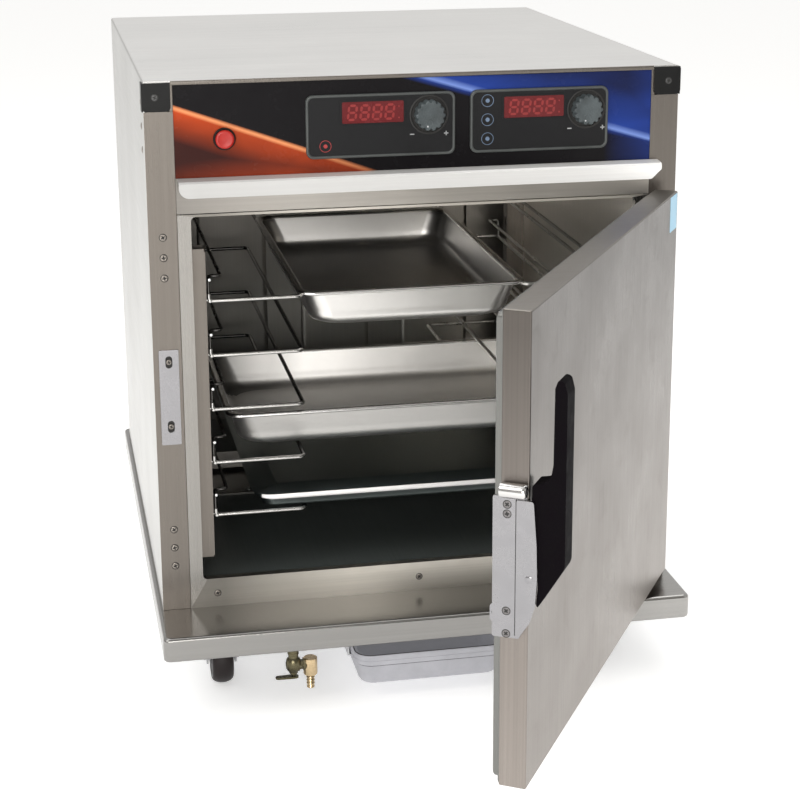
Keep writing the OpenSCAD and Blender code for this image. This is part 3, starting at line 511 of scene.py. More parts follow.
def paint(obj, mat, chosen):
    """One more material, on the faces that are chosen."""
    obj.data.materials.append(MATS[mat])
    for face in obj.data.polygons:
        if chosen(face):
            face.material_index = len(obj.data.materials) - 1


def to3(axis, u, v, w):
    """Point with coordinates u, v across the axis and w along it."""
    return {"x": (w, u, v), "y": (u, w, v), "z": (u, v, w)}[axis]


def skin(bm, a, b):
    """Closed band of faces between two rows of vertices."""
    for i in range(len(a)):
        j = (i + 1) % len(a)
        bm.faces.new((a[i], a[j], b[j], b[i]))


def plate(bm, loops, axis, a, b):
    """Flat plate between a and b along the axis; the first loop is its outline and the rest are holes."""
    flat = [[Vector((p[0], p[1], 0)) for p in loop] for loop in loops]
    low, high = ([bm.verts.new(to3(axis, p.x, p.y, w)) for loop in flat for p in loop] for w in (a, b))
    for t in tessellate_polygon(flat):
        for side in (low, high):
            try:
                bm.faces.new([side[i] for i in t])
            except ValueError:
                # The tessellation can name the same triangle twice
                pass
    start = 0
    for loop in loops:
        end = start + len(loop)
        skin(bm, low[start:end], high[start:end])
        start = end


def loft(bm, loops, cap_start=True, cap_end=True):
    """Skin through loops of equal length."""
    rows = [[bm.verts.new(p) for p in loop] for loop in loops]
    for a, b in zip(rows, rows[1:]):
        skin(bm, a, b)
    for row, wanted in ((rows[0], cap_start), (rows[-1], cap_end)):
        if wanted:
            bm.faces.new(row)


def plated(name, loops, axis, a, b, mat, slot=None, **options):
    """A piece that is one plate."""
    bm = bmesh.new()
    plate(bm, loops, axis, a, b)
    return finish(name, bm, mat, slot, **options)


def lofted(name, loops, mat, slot=None, caps=(True, True), **options):
    """A piece that is one loft."""
    bm = bmesh.new()
    loft(bm, loops, *caps)
    return finish(name, bm, mat, slot, **options)


def rect(u0, v0, u1, v1):
    return [(u0, v0), (u1, v0), (u1, v1), (u0, v1)]


def round_rect(u0, v0, u1, v1, r, n=6):
    pts = []
    corners = ((u1 - r, v1 - r, 0), (u0 + r, v1 - r, 90), (u0 + r, v0 + r, 180), (u1 - r, v0 + r, 270))
    for cx, cy, start in corners:
        for k in range(n + 1):
            t = math.radians(start + 90 * k / n)
            pts.append((cx + r * math.cos(t), cy + r * math.sin(t)))
    return pts


def inset_loop(axis, box, inset, r, w, n):
    """Rounded rectangle inside a box of (u0, v0, u1, v1), at w along the axis."""
    u0, v0, u1, v1 = box
    return [to3(axis, *p, w) for p in round_rect(u0 + inset, v0 + inset, u1 - inset, v1 - inset, r, n)]


def ring(cx, cy, r, n):
    turns = [2 * math.pi * k / n for k in range(n)]
    return [(cx + r * math.cos(t), cy + r * math.sin(t)) for t in turns]


def rings(profile, axis, centre, n):
    """Circles for a profile of (radius, distance along the axis) about centre, its two cross coordinates."""
    return [[to3(axis, *p, w) for p in ring(*centre, r, n)] for r, w in profile]


def lathe(bm, profile, axis, centre, n, cap=True):
    loft(bm, rings(profile, axis, centre, n), cap, cap)


def turned(name, profile, axis, centre, n, mat, slot=None, **options):
    """A piece that is one lathed shape."""
    lofted(name, rings(profile, axis, centre, n), mat, slot, **options)


def along(start, profile):
    """The profile with its distances counted from start."""
    return [(r, start + w) for r, w in profile]


def block(bm, lo, hi):
    plate(bm, [rect(lo[0], lo[1], hi[0], hi[1])], "z", lo[2], hi[2])


def rounded_path(points, bend, steps=6):
    """The points with each corner turned into an arc."""
    pts = [Vector(p) for p in points]
    out = [pts[0]]
    for a, b, c in zip(pts, pts[1:], pts[2:]):
        u, v = (a - b).normalized(), (c - b).normalized()
        half = u.angle(v) / 2
        cut = min(bend / math.tan(half), (a - b).length * 0.49, (c - b).length * 0.49)
        radius = cut * math.tan(half)
        centre = b + (u + v).normalized() * (radius / math.sin(half))
        r0, r1 = b + u * cut - centre, b + v * cut - centre
        turn = r0.angle(r1)
        axis = r0.cross(r1).normalized()
        for k in range(steps + 1):
            out.append(centre + Matrix.Rotation(turn * k / steps, 3, axis) @ r0)
    out.append(pts[-1])
    return out


def tube(bm, path, r, n, domed=True):
    """Round wire along a path, with domed or flat ends."""
    path = [Vector(p) for p in path]
    first = (path[1] - path[0]).normalized()
    side = first.orthogonal().normalized()
    turns = [2 * math.pi * i / n for i in range(n)]

    def circle(p, s, u, scale):
        return [p + (s * math.cos(t) + u * math.sin(t)) * r * scale for t in turns]

    def dome(p, s, u, outward, k):
        return circle(p + outward * r * (1 - k) * 0.8, s, u, math.sqrt(1 - (1 - k) ** 2))

    frames = []
    for i, p in enumerate(path):
        a = (p - path[i - 1]).normalized() if i else first
        b = (path[i + 1] - p).normalized() if i + 1 < len(path) else a
        ahead = (a + b).normalized()
        side = (side - ahead * side.dot(ahead)).normalized()
        frames.append((p, side, ahead.cross(side), ahead, 1.0 / max(0.5, ahead.dot(a))))
    rows = [circle(p, s, u, scale) for p, s, u, _, scale in frames]
    if domed:
        start, end = frames[0], frames[-1]
        rows = [dome(*start[:3], -start[3], k) for k in (0.35, 0.8)] + rows
        rows += [dome(*end[:4], k) for k in (0.8, 0.35)]
    loft(bm, rows)


def sheet_profile(points, thickness):
    """Outline of a bent sheet of even thickness, from the polyline along its outer face. It thickens to the
    left."""
    left = []
    pts = [Vector(p) for p in points]
    for i, p in enumerate(pts):
        a = (p - pts[i - 1]).normalized() if i else (pts[1] - p).normalized()
        b = (pts[i + 1] - p).normalized() if i + 1 < len(pts) else a
        na, nb = Vector((-a.y, a.x)), Vector((-b.y, b.x))
        m = (na + nb).normalized()
        left.append(p + m * (thickness / max(0.3, m.dot(na))))
    return [tuple(p) for p in pts] + [tuple(p) for p in reversed(left)]


def soften(points, r, steps):
    """Polyline in 2D with its corners rounded."""
    out = rounded_path([(p[0], p[1], 0) for p in points], r, steps)
    return [(p.x, p.y) for p in out]


def soften_closed(points, steps=4):
    """Closed 2D outline from points of two coordinates and the radius of the corner there."""
    out = []
    n = len(points)
    for i in range(n):
        a, b, c = (Vector(points[j % n][:2]) for j in (i - 1, i, i + 1))
        u, v = (a - b).normalized(), (c - b).normalized()
        half = u.angle(v) / 2
        if half > math.radians(88):
            out.append(tuple(b))
            continue
        cut = min(points[i][2] / math.tan(half), (a - b).length * 0.48, (c - b).length * 0.48)
        radius = cut * math.tan(half)
        centre = b + (u + v).normalized() * (radius / math.sin(half))
        a0 = math.atan2(*(b + u * cut - centre).yx)
        a1 = math.atan2(*(b + v * cut - centre).yx)
        turn = (a1 - a0 + math.pi) % (2 * math.pi) - math.pi
        for k in range(steps + 1):
            t = a0 + turn * k / steps
            out.append((centre.x + radius * math.cos(t), centre.y + radius * math.sin(t)))
    return out


# ---------------------------------------------------------------- screws

def screw_set(name, spots, mat="screw_steel", slot=None, body="cabinet", nodes=(), seed=4):
    """Pan-head screws with a cross recess, painted shade at the recess's bottom and a painted shadow line
    round the head. Each spot is the axis, the two cross coordinates, the face it sits on, the way it stands
    out (-1 or
    1), its radius and its height."""
    random.seed(seed)
    heads, dark = bmesh.new(), bmesh.new()
    for axis, u, v, face, out, r, high in spots:
        turn = random.uniform(0, 1.5)
        c, s = math.cos(turn), math.sin(turn)
        w, arm = r * 0.22, r * 0.64
        arms = ((w, w), (w, arm), (-w, arm), (-w, w), (-arm, w), (-arm, -w),
                (-w, -w), (-w, -arm), (w, -arm), (w, -w), (arm, -w), (arm, w))
        cross = [(u + x * c - y * s, v + x * s + y * c) for x, y in arms]
        top = face + out * high
        mid = face + out * high * 0.35
        plate(heads, [ring(u, v, r * 0.78, 24), cross], axis, mid, top)
        shoulder, rim = face + out * high * 0.72, face + out * high * 0.3
        side = [(r * 0.78, top), (r * 0.92, shoulder), (r, rim), (r, face)]
        loft(heads, rings(side, axis, (u, v), 24), False, True)
        # Painted shade: a dark disc at the bottom of the cross recess and a dark ring round the head
        plate(dark, [ring(u, v, r * 0.7, 20)], axis, mid, mid + out * high * 0.06)
        plate(dark, [ring(u, v, r * 1.2, 28), ring(u, v, r * 0.99, 28)], axis, face, face + out * 0.12)
    finish(name, heads, mat, slot, body, nodes, sharp=30)
    finish(name + "_shade_marks", dark, "dark_gap", slot or mat, body)


def cabinet_screws():
    front, caps = [], []
    for sx, _ in SIDES:
        for h in (66, 93, 120, 480, 508, 536):
            front.append(("y", sx * 348, SHELF + h, 0 if sx < 0 else -2, -1, 4.5, 1.0))
        caps.append(("y", sx * 352, TOP - 21, -2.5, -1, 4.2, 1.0))
        for z in (TOP - 33, TOP - 65, TOP - 97):
            front.append(("x", 45, z, sx * HALF_W, sx, 4.2, 1.0))
    for z in STRIKE_SLOTS:
        front.append(("y", STRIKE_X, z, -1.6, -1, 3.7, 1.2))
    for x in (-290, 0, 290):
        front.append(("y", x, SHELF + 20, 0, -1, 4.2, 1.0))
    screw_set("screws_front", front, nodes=["cabinet_screws"])
    screw_set("screws_caps", caps, "screw_black", "screw_steel", seed=6)


# ---------------------------------------------------------------- cabinet casing

def base():
    """Formed tray with soft edges and a return lip underneath."""
    box = (-HALF_W - 7.5, -100.0, HALF_W + 7.5, BODY_D + 30.0)
    turns = [math.radians(a) for a in range(0, 91, 18)]
    rows = [(5.0 * (1 - math.sin(t)), SHELF - 5 + 5.0 * math.cos(t)) for t in turns]
    rows += [(0.0, 96.0), (0.5, 93.2), (1.6, 92.0), (14.0, 92.0), (14.0, 93.6), (3.0, 94.0)]
    loops = [inset_loop("z", box, i, max(3.0, 9.0 - i * 0.5), z, 8) for i, z in rows]
    loops.append(inset_loop("z", box, 3.0, 6.0, SHELF - 2.0, 8))
    lofted("base_shell", loops, "stainless_base", "stainless_polished", nodes=["base_tray"], sharp=50)


def wrap():
    """Top and two sides in one bent sheet, with a folded hem over the control panel."""
    outer = [(-HALF_W, SHELF), (-HALF_W, TOP), (HALF_W, TOP), (HALF_W, SHELF)]
    shell = sheet_profile(soften(outer, 4.0, 5), -2.0)
    obj = plated("wrap_shell", [shell], "y", 0.4, BODY_D, "stainless_side", "stainless",
                 nodes=["outer_wrap"], sharp=30)
    # Painted light: the top faces get a lighter copy of the sides' steel
    paint(obj, "stainless_top", lambda face: face.normal.z > 0.8)
    fold = [(3.0, TOP - 0.1), (-1.9, TOP - 0.1), (-1.9, PANEL_TOP + 0.3), (0.4, PANEL_TOP + 0.3)]
    hem = sheet_profile(soften(fold, 1.4, 4), 0.9)
    plated("wrap_hem", [hem], "x", -HALF_W + 36.5, HALF_W - 36.5, "stainless")


def posts():
    for sx, side in SIDES:
        bm = bmesh.new()
        lo, hi = sorted((sx * POST_IN, sx * (HALF_W - 0.2)))
        plate(bm, [rect(lo, SHELF, hi, TOP - 40.4)], "y", 0.0, 2.0)
        lo, hi = sorted((sx * POST_IN, sx * (HALF_W - 34.5)))
        plate(bm, [rect(lo, TOP - 40.2, hi, TOP - 3.4)], "y", 0.2, 2.0)
        lo, hi = sorted((sx * POST_IN, sx * (POST_IN + 2)))
        block(bm, (lo, 2.0, SHELF), (hi, 28, TOP - 2.2))
        finish(f"post_{side}", bm, "stainless", nodes=[f"front_post_{side}"], bevel=0.5)
        bm = bmesh.new()
        lo, hi = sorted((sx * (HALF_W + 2), sx * (HALF_W - 36)))
        cap = [(lo, TOP - 40, 6), (hi, TOP - 40, 6), (hi, TOP - 2, 3), (lo, TOP - 2, 3)]
        plate(bm, [soften_closed(cap)], "y", -2.5, 0.0)
        lo, hi = sorted((sx * HALF_W, sx * (HALF_W + 2)))
        block(bm, (lo, -1.0, TOP - 40), (hi, 20, TOP - 2))
        finish(f"cap_{side}", bm, "black_plastic", nodes=["corner_caps"], bevel=0.8, segments=3)


def back():
    bm = bmesh.new()
    vents = [766 + 14 * k for k in range(6)]
    sheet = round_rect(-HALF_W + 2.2, SHELF + 0.2, HALF_W - 2.2, TOP - 2.2, 2)
    slots = [round_rect(-90, z, 90, z + 6, 2.9, 5) for z in vents]
    cord_hole = ring(250, 790, 11, 32)
    plate(bm, [sheet, *slots, cord_hole], "y", BODY_D - 2, BODY_D - 0.2)
    for z in vents:
        louvre = [(BODY_D - 0.4, z), (BODY_D - 0.4, z + 1), (BODY_D - 9, z + 7), (BODY_D - 9, z + 6)]
        plate(bm, [louvre], "x", -90, 90)
    finish("back_sheet", bm, "stainless_back", "stainless", nodes=["back_panel"], bevel=0.4)
    places = [(x, z) for x in (-350, -175, 0, 175, 350) for z in (SHELF + 14, TOP - 16)]
    places += [(x, z) for x in (-350, 350) for z in (300, 480, 660)]
    screw_set("back_screws", [("y", x, z, BODY_D - 0.2, 1, 3.6, 1.2) for x, z in places], seed=9)


def header_and_frame():
    bm = bmesh.new()
    block(bm, (-POST_IN, 0.0, SEAM + 0.4), (POST_IN, 2.0, PANEL_Z))
    finish("header_sheet", bm, "stainless_x", "stainless", nodes=["header_rail"], bevel=0.6)
    bm = bmesh.new()
    opening = (-OPEN_HALF, SILL, OPEN_HALF, OPEN_TOP)
    sheet = rect(-POST_IN + 0.4, SHELF, POST_IN - 0.4, SEAM - 0.6)
    plate(bm, [sheet, round_rect(*opening, 6)], "y", 0.0, 2.0)
    jamb = ((-2, 2.0), (-2, 12.0), (0, 12.0), (0, 0.5))
    loft(bm, [inset_loop("y", opening, inset, 6 - inset, y, 6) for inset, y in jamb], False, False)
    obj = finish("frame_face", bm, "stainless_sill", "stainless", nodes=["front_frame"], sharp=30)
    # The jambs get their own copy of the frame's steel: painted light and shade
    paint(obj, "stainless_jamb", lambda face: abs(face.center.x) > 0.305)


def visor():
    """Bent strip with a rounded lower corner at the left and a pointed end at the right."""
    x0, x1, corner, end = -326.0, 340.0, 14, 22
    low_z, out = PANEL_Z - 24, -20.0
    places = [x0 + corner * (1 - math.cos(math.radians(9 * k))) for k in range(11)]
    places += [x0 + corner + (x1 - x0 - corner - end) * k / 24 for k in range(1, 24)]
    places += [x1 - end + 2.2 * k for k in range(11)]
    rows = []
    for x in places:
        low = low_z
        if x - x0 < corner:
            low = low_z + corner - math.sqrt(max(0.0, corner ** 2 - (corner - (x - x0)) ** 2))
        if x1 - x < corner:
            low = low_z + (corner - (x1 - x)) * 0.95
        bend = [(0.0, PANEL_Z - 0.2), (out + 2.2, PANEL_Z - 2.0), (out, PANEL_Z - 4.5), (out, low)]
        rows.append([(x, u, v) for u, v in sheet_profile(soften(bend, 1.5, 4), 1.2)])
    # The visor's face carries a painted sheen
    lofted("visor_strip", rows, "visor_bright", "stainless_polished", nodes=["drip_visor"], sharp=45)


# ---------------------------------------------------------------- control panel

def panel():
    holes = []
    for _, cx, w, _ in MODULES:
        holes.append(round_rect(cx - w / 2 + 10, MODULE_Z - 33, cx + w / 2 - 10, MODULE_Z + 33, 4))
    holes.append(ring(*SWITCH, 11, 32))
    sheet = rect(-POST_IN, PANEL_Z, POST_IN, PANEL_TOP)
    plated("panel_overlay", [sheet, *holes], "y", 1.0, 4.0, "panel_black", nodes=["control_panel"], bevel=0.3)


def knob(side, cx, z):
    """Knob with fourteen soft lobes, a finger dimple and a pointer dot."""
    body, lobes, n, top = f"knob_{side}", 14, 140, -16.0
    outside = ((19.4, -1.0, 0.6), (20.9, -1.6, 1.6), (20.9, -7.0, 2.6), (20.7, -13.2, 2.9),
               (20.3, -15.0, 2.8), (19.4, -15.8, 2.4), (18.2, top, 1.5), (16.6, top + 0.1, 0.4),
               (15.6, top + 0.3, 0), (10.0, top + 0.7, 0), (4.0, top + 0.9, 0))
    rows = []
    for r, y, depth in outside:
        row = []
        for k in range(n):
            t = 2 * math.pi * k / n
            reach = r - depth * (0.5 - 0.5 * math.cos(t * lobes)) ** 2
            row.append((cx + reach * math.cos(t), y, z + reach * math.sin(t)))
        rows.append(row)
    bm = bmesh.new()
    loft(bm, rows)
    lathe(bm, [(2.9, -1.2), (2.9, 15.5)], "y", (cx, z), 24)
    finish(f"knob_body_{side}", bm, "knob_grey", body=body, nodes=[body], sharp=50)
    dimple = along(top, [(5.2, 0.75), (4.6, 0.35), (3.9, 0.35), (3.0, 0.95), (0.3, 1.0)])
    turned(f"knob_dimple_{side}", dimple, "y", (cx - 1.5, z - 10.0), 28, "knob_grey", body=body, sharp=60)
    dot = along(top, [(1.2, 0.9), (1.1, 0.12), (0.2, 0.08)])
    turned(f"knob_dot_{side}", dot, "y", (cx - 4.5, z - 14.2), 16, "print_white", "knob_grey",
           body=body, sharp=60)


def digit(bm, cx, cz, w, h, y):
    """All seven segments of an unlit figure, leaning a little."""
    t = h * 0.085
    segments = ((0, 1, "h"), (0.5, 0.5, "v"), (0.5, -0.5, "v"), (0, -1, "h"), (-0.5, -0.5, "v"),
                (-0.5, 0.5, "v"), (0, 0, "h"))
    for dx, dz, kind in segments:
        x, z = cx + dx * w, cz + dz * h / 2
        if kind == "h":
            half = w / 2 - t * 0.5
            pts = [(x - half, z), (x - half + t, z + t), (x + half - t, z + t),
                   (x + half, z), (x + half - t, z - t), (x - half + t, z - t)]
        else:
            half = h / 4 - t * 0.5
            pts = [(x, z - half), (x + t, z - half + t), (x + t, z + half - t),
                   (x, z + half), (x - t, z + half - t), (x - t, z - half + t)]
        plate(bm, [[(px + (pz - cz) * 0.12, pz) for px, pz in pts]], "y", y - 0.15, y)


def key(name, cx, cz, r, mat):
    """Printed key: a ring with a dot."""
    y = -2.7
    bm = bmesh.new()
    lathe(bm, [(r, y), (r, y - 0.25), (r - 0.7, y - 0.25), (r - 0.7, y)], "y", (cx, cz), 40, False)
    lathe(bm, [(r * 0.34, y), (r * 0.34, y - 0.2), (0.1, y - 0.2)], "y", (cx, cz), 20)
    finish(name, bm, mat, "module_grey", sharp=40)


def display(side, dx):
    """Window in its frame, with four figures and two dots."""
    z = MODULE_Z
    outer = round_rect(dx - 45, z + 1.5, dx + 45, z + 34.5, 3)
    inner = round_rect(dx - 42.3, z + 3.2, dx + 42.3, z + 32.8, 2)
    pane = round_rect(dx - 42, z + 3.5, dx + 42, z + 32.5, 2)
    nodes = ["display_windows"] if side == "left" else []
    plated(f"window_frame_{side}", [outer, inner], "y", -3.5, -2.6, "module_face", "module_grey", bevel=0.3)
    plated(f"window_{side}", [pane], "y", -3.05, -2.6, "display_dark", nodes=nodes, bevel=0.15)
    bm = bmesh.new()
    for k in range(4):
        digit(bm, dx - 28 + 17 * k, z + 18, 10.5, 19, -3.06)
    for r, up in ((1.2, 9.5), (1.0, 25)):
        lathe(bm, [(r, -3.05), (r, -3.2), (0.1, -3.2)], "y", (dx + 35.5, z + up), 12)
    finish(f"digits_{side}", bm, "digits", "display_dark")


def modules():
    rim = ((0, 0.9, 10), (0, -2.6, 10), (0.5, -3.6, 9.6), (1.4, -4.0, 9), (2.4, -4.0, 8.4), (3.3, -3.6, 7.8),
           (3.8, -2.6, 7.4))
    well = [(24.0, -2.75), (24.6, -3.1), (25.6, -3.2), (26.6, -3.0), (27.0, -2.7)]
    for side, cx, w, dx in MODULES:
        lo, hi = cx - w / 2, cx + w / 2
        kx, kz = cx + 66, MODULE_Z + 12
        box = (lo, MODULE_Z - 43, hi, MODULE_Z + 43)
        lofted(f"module_rim_{side}", [inset_loop("y", box, inset, r, y, 8) for inset, y, r in rim],
               "module_grey", caps=(True, False), nodes=[f"control_module_{side}"], sharp=60)
        bm = bmesh.new()
        inner = round_rect(lo + 3.7, MODULE_Z - 39.3, hi - 3.7, MODULE_Z + 39.3, 7.4, 8)
        plate(bm, [inner, ring(kx, kz, 24, 56)], "y", -2.7, -0.6)
        block(bm, (lo + 12, 1.0, MODULE_Z - 31), (hi - 12, 31, MODULE_Z + 31))
        finish(f"module_face_{side}", bm, "module_face", "module_grey", bevel=0.25)
        # The knob's well is near-black: painted shade round the knob
        bm = bmesh.new()
        lathe(bm, well, "y", (kx, kz), 64, False)
        lathe(bm, [(23.9, -0.7), (3.2, -0.7)], "y", (kx, kz), 48, False)
        finish(f"module_well_{side}", bm, "dark_gap", "module_grey", sharp=60)
        display(side, dx)
        knob(side, kx, kz)
        # A minus at the left of the dial and a plus at its right
        bm = bmesh.new()
        for sx, _ in SIDES:
            mx, mz = kx + sx * 23.5, kz - 26
            block(bm, (mx - 3, -2.95, mz - 0.6), (mx + 3, -2.7, mz + 0.6))
            if sx > 0:
                block(bm, (mx - 0.6, -2.95, mz - 3), (mx + 0.6, -2.7, mz + 3))
        finish(f"dial_marks_{side}", bm, "print_white", "module_grey")
    key("key_left", -127, SHELF + 651, 8.0, "print_red")
    for k, z in enumerate((705, 679, 653)):
        key(f"key_right_{k}", 96, SHELF + z, 8.5, "print_blue")


def switch():
    bezel = [(10.8, 24.0), (10.8, 0.5), (15.0, 0.5), (15.0, -1.8), (14.4, -2.7), (13.6, -3.0), (12.9, -2.7),
             (12.8, -1.0), (5.06, -1.0), (5.06, 20.0)]
    lens = [(4.9, 13.8), (4.9, -4.2), (12.4, -4.2), (12.5, -6.6), (11.9, -7.9), (10.4, -8.7), (9.0, -8.5),
            (6.0, -8.1), (2.0, -7.95)]
    turned("switch_ring", bezel, "y", SWITCH, 56, "black_plastic", nodes=["switch_bezel"], sharp=50)
    turned("button_lens", lens, "y", SWITCH, 56, "lens_red", body="power_button", nodes=["power_button"],
           sharp=60)


# ---------------------------------------------------------------- cavity

def cavity():
    outer = [(-CAV_HALF, CAV_FLOOR), (-CAV_HALF, CAV_TOP), (CAV_HALF, CAV_TOP), (CAV_HALF, CAV_FLOOR)]
    bm = bmesh.new()
    plate(bm, [sheet_profile(soften(outer, 10, 5), 1.5)], "y", 2.2, CAV_BACK)
    block(bm, (-CAV_HALF, CAV_BACK, CAV_FLOOR), (CAV_HALF, CAV_BACK + 1.5, CAV_TOP))
    obj = finish("cavity_shell", bm, "cavity_walls", "stainless_cavity", nodes=["cavity_liner"], sharp=30)
    # Painted shade: the back wall gets the darker copy of the liner's steel
    paint(obj, "cavity_back", lambda face: face.center.y * 1000 + SHIFT_Y > CAV_BACK - 1)
    floor = rect(-CAV_HALF + 0.2, 1.9, CAV_HALF - 0.2, CAV_BACK)
    hole = round_rect(-272.5, 350.5, -113.5, 549.5, 12)
    plated("cavity_floor_sheet", [floor, hole], "z", CAV_FLOOR - 1.5, CAV_FLOOR, "cavity_floor",
           "stainless_cavity", bevel=0.3)
    # Shallow pressed panels on the back wall
    bm = bmesh.new()
    for x in (-180, 0, 180):
        press = ((0, 0), (3, 1.6), (8, 2.4))
        box = (x - 60, 230, x + 60, 640)
        loft(bm, [inset_loop("y", box, inset, 20, CAV_BACK - lift, 6) for inset, lift in press], False, True)
    finish("cavity_back_panels", bm, "cavity_back", "stainless_cavity", sharp=60)
    sides = ((0, 1.2), (3, 1.2), (4, 0), (6, -26), (12, -32))
    box = (-276, 347, -110, 553)
    lofted("reservoir_pan", [inset_loop("z", box, inset, 14, CAV_FLOOR + up, 6) for inset, up in sides],
           "stainless_cavity", caps=(False, True), nodes=["water_reservoir"], thick=1.0)
    pipe = [(-193, 450, 132), (-193, 450, 108), (-193, -60, 108), (-193, -60, 92)]
    bm = bmesh.new()
    tube(bm, rounded_path(pipe, 14), 6.0, 16)
    finish("drain_tube", bm, "tube_metal", "stainless_cavity")


def uprights():
    """Channel with a column of slots and rounded, notched ends."""
    z0, z1 = SHELF + 60.0, SHELF + 515.0
    for sx, side in SIDES:
        for y0, where in ((26.0, "front"), (640.0, "rear")):
            outline = [(0.8, z0 + 6, 3), (5, z0, 3), (20, z0, 3), (24.2, z0 + 6, 3),
                       (24.2, z1 - 14, 3), (17, z1 - 2, 4), (8, z1, 4), (0.8, z1 - 8, 4)]
            sheet = soften_closed([(y0 + y, z, r) for y, z, r in outline])
            lows = [LEVELS[0] - 51 + 39 * k for k in range(11)]
            slots = [round_rect(y0 + 8.5, z, y0 + 16.5, z + 14, 1.2, 2) for z in lows]
            bm = bmesh.new()
            a, b = sorted((sx * 290.0, sx * 291.5))
            plate(bm, [sheet, *slots], "x", a, b)
            a, b = sorted((sx * 291.5, sx * 320.0))
            for y in (y0, y0 + 23.5):
                block(bm, (a, y, z0 + 5), (b, y + 1.5, z1 - 3))
            finish(f"upright_{where}_{side}", bm, "stainless", nodes=["rack_uprights"], bevel=0.35)


def slides():
    """U-shaped slides with hooks at the uprights, and cranked guard wires whose front ends carry a painted
    highlight.
    """
    for sx, side in SIDES:
        # The left slides and guards carry painted shade; the right ones an even copy of the chrome
        wire, guard_mat = ("wire_chrome", "wire_dark") if sx < 0 else ("wire_right", "wire_right")
        outer, inner, guard, hooked = sx * 285.0, sx * 158.0, sx * 268.0, sx * 297.0
        for k, z in enumerate(LEVELS):
            top = z + 30.0
            # The front bar turns up at its outer end; the outer runner starts behind it
            bar = [(sx * 286.2, 33, z + 9), (sx * 286.2, 33, z), (inner, 33, z),
                   (inner, 687, z), (outer, 687, z), (outer, 38, z)]
            bm = bmesh.new()
            tube(bm, rounded_path(bar, 9.0, 7), 2.9, 14)
            for y in (38.5, 652.5):
                hook = [(outer, y - 8, z), (outer, y, z), (hooked, y, z), (hooked, y, z - 4)]
                tube(bm, rounded_path(hook, 2.5, 4), 2.3, 10)
            finish(f"slide_{side}_{k}", bm, wire, "wire_chrome", nodes=["wire_slides"], sharp=60)
            path = [(outer, 31.9, top), (outer, 55, top), (guard, 55, top),
                    (guard, 682, top), (outer, 682, top), (outer, 682, z + 3.2)]
            bm = bmesh.new()
            tube(bm, rounded_path(path, 7.0), 2.45, 12)
            tube(bm, [(sx * 286.4, 34, z + 8), (sx * 286.4, 34, top - 1)], 1.7, 10)
            finish(f"guard_{side}_{k}", bm, guard_mat, "wire_chrome", nodes=["slide_guard_wires"], sharp=60)
            # Each guard wire's front end is a cap with a painted highlight
            end = [(2.3, 31.9), (2.2, 30.4), (1.7, 30.1), (0.2, 30.1)]
            turned(f"guard_end_{side}_{k}", end, "y", (outer, top), 16, "wire_end", "wire_chrome", sharp=60)


def strike():
    outline = round_rect(-360, SHELF + 245, -333, SHELF + 380, 1.5, 3)
    slots = [round_rect(STRIKE_X - 4.6, z - 8.5, STRIKE_X + 4.6, z + 8.5, 4.5, 7) for z in STRIKE_SLOTS]
    plated("strike", [outline, *slots], "y", -2.0, 0.0, "latch_zinc", nodes=["strike_plate"], bevel=0.45)
    # Painted shade: dark plates at the bottom of the strike's slots
    bm = bmesh.new()
    for z in STRIKE_SLOTS:
        plate(bm, [round_rect(STRIKE_X - 4.5, z - 8.4, STRIKE_X + 4.5, z + 8.4, 4.4, 7)], "y", -0.5, -0.1)
    finish("strike_slot_shade", bm, "dark_gap", "latch_zinc")


# ---------------------------------------------------------------- pans

def pan(name, body, x0, y0, w, d, rim_z, depth, mat, rim_mat, shallow=False):
    """Drawn pan: rolled rim, rounded shoulder, sloping walls and a broad radius at the floor."""
    rim, slope, floor_r, hem = (5, 5, 5.0, 3.6) if shallow else (10, 8, 18.0, 0.0)
    floor_z = -depth + 1.2
    rows = [(1.9, -5.2 - hem), (0.7, -4.6 - hem), (0.0, -3.2 - hem), (0.35, -1.3), (1.6, -0.25), (3.0, 0.0),
            (rim - 3.5, -0.15), (rim - 1.5, -0.6), (rim - 0.2, -1.9), (rim + 0.5, -4.0)]
    for k in range(1, 6):
        t = k / 6
        rows.append((rim + 0.5 + slope * t, -4.0 + (floor_z + floor_r + 4.0) * t))
    for k in range(8):
        a = math.radians(90 * k / 7)
        rows.append((rim + 0.5 + slope + floor_r * (1 - math.cos(a)), floor_z + floor_r * (1 - math.sin(a))))
    loops = []
    for inset, z in rows:
        # A deep pan's corners are small at the rim and grow down the wall
        if shallow:
            r = 26 - inset * 0.75
        elif inset < rim:
            r = 22 - inset * 0.3
        else:
            r = 24 + 0.75 * (inset - rim)
        loops.append(inset_loop("z", (x0, y0, x0 + w, y0 + d), inset, r, rim_z + z, 10))
    obj = lofted(name, loops, mat, "pan_aluminium" if shallow else "pan_steel", caps=(False, True),
                 body=body, nodes=[body], sharp=60, thick=1.1)

    def bright(face):
        """The rim; of the shallow pan only its top edge at the left and its whole front, which carry a
        painted highlight.
        """
        x, y, z = face.center.x * 1000, face.center.y * 1000 + SHIFT_Y, face.center.z * 1000
        if not shallow:
            return z > rim_z - 3.4
        return z > rim_z - 11 and y < y0 + 9 or z > rim_z - 3 and x < x0 + 8 and y < y0 + 200

    def shaded(face):
        return mat == "pan_satin" and face.center.y * 1000 + SHIFT_Y > y0 + d - 60 and not bright(face)

    paint(obj, rim_mat, bright)
    paint(obj, "pan_shade", shaded)


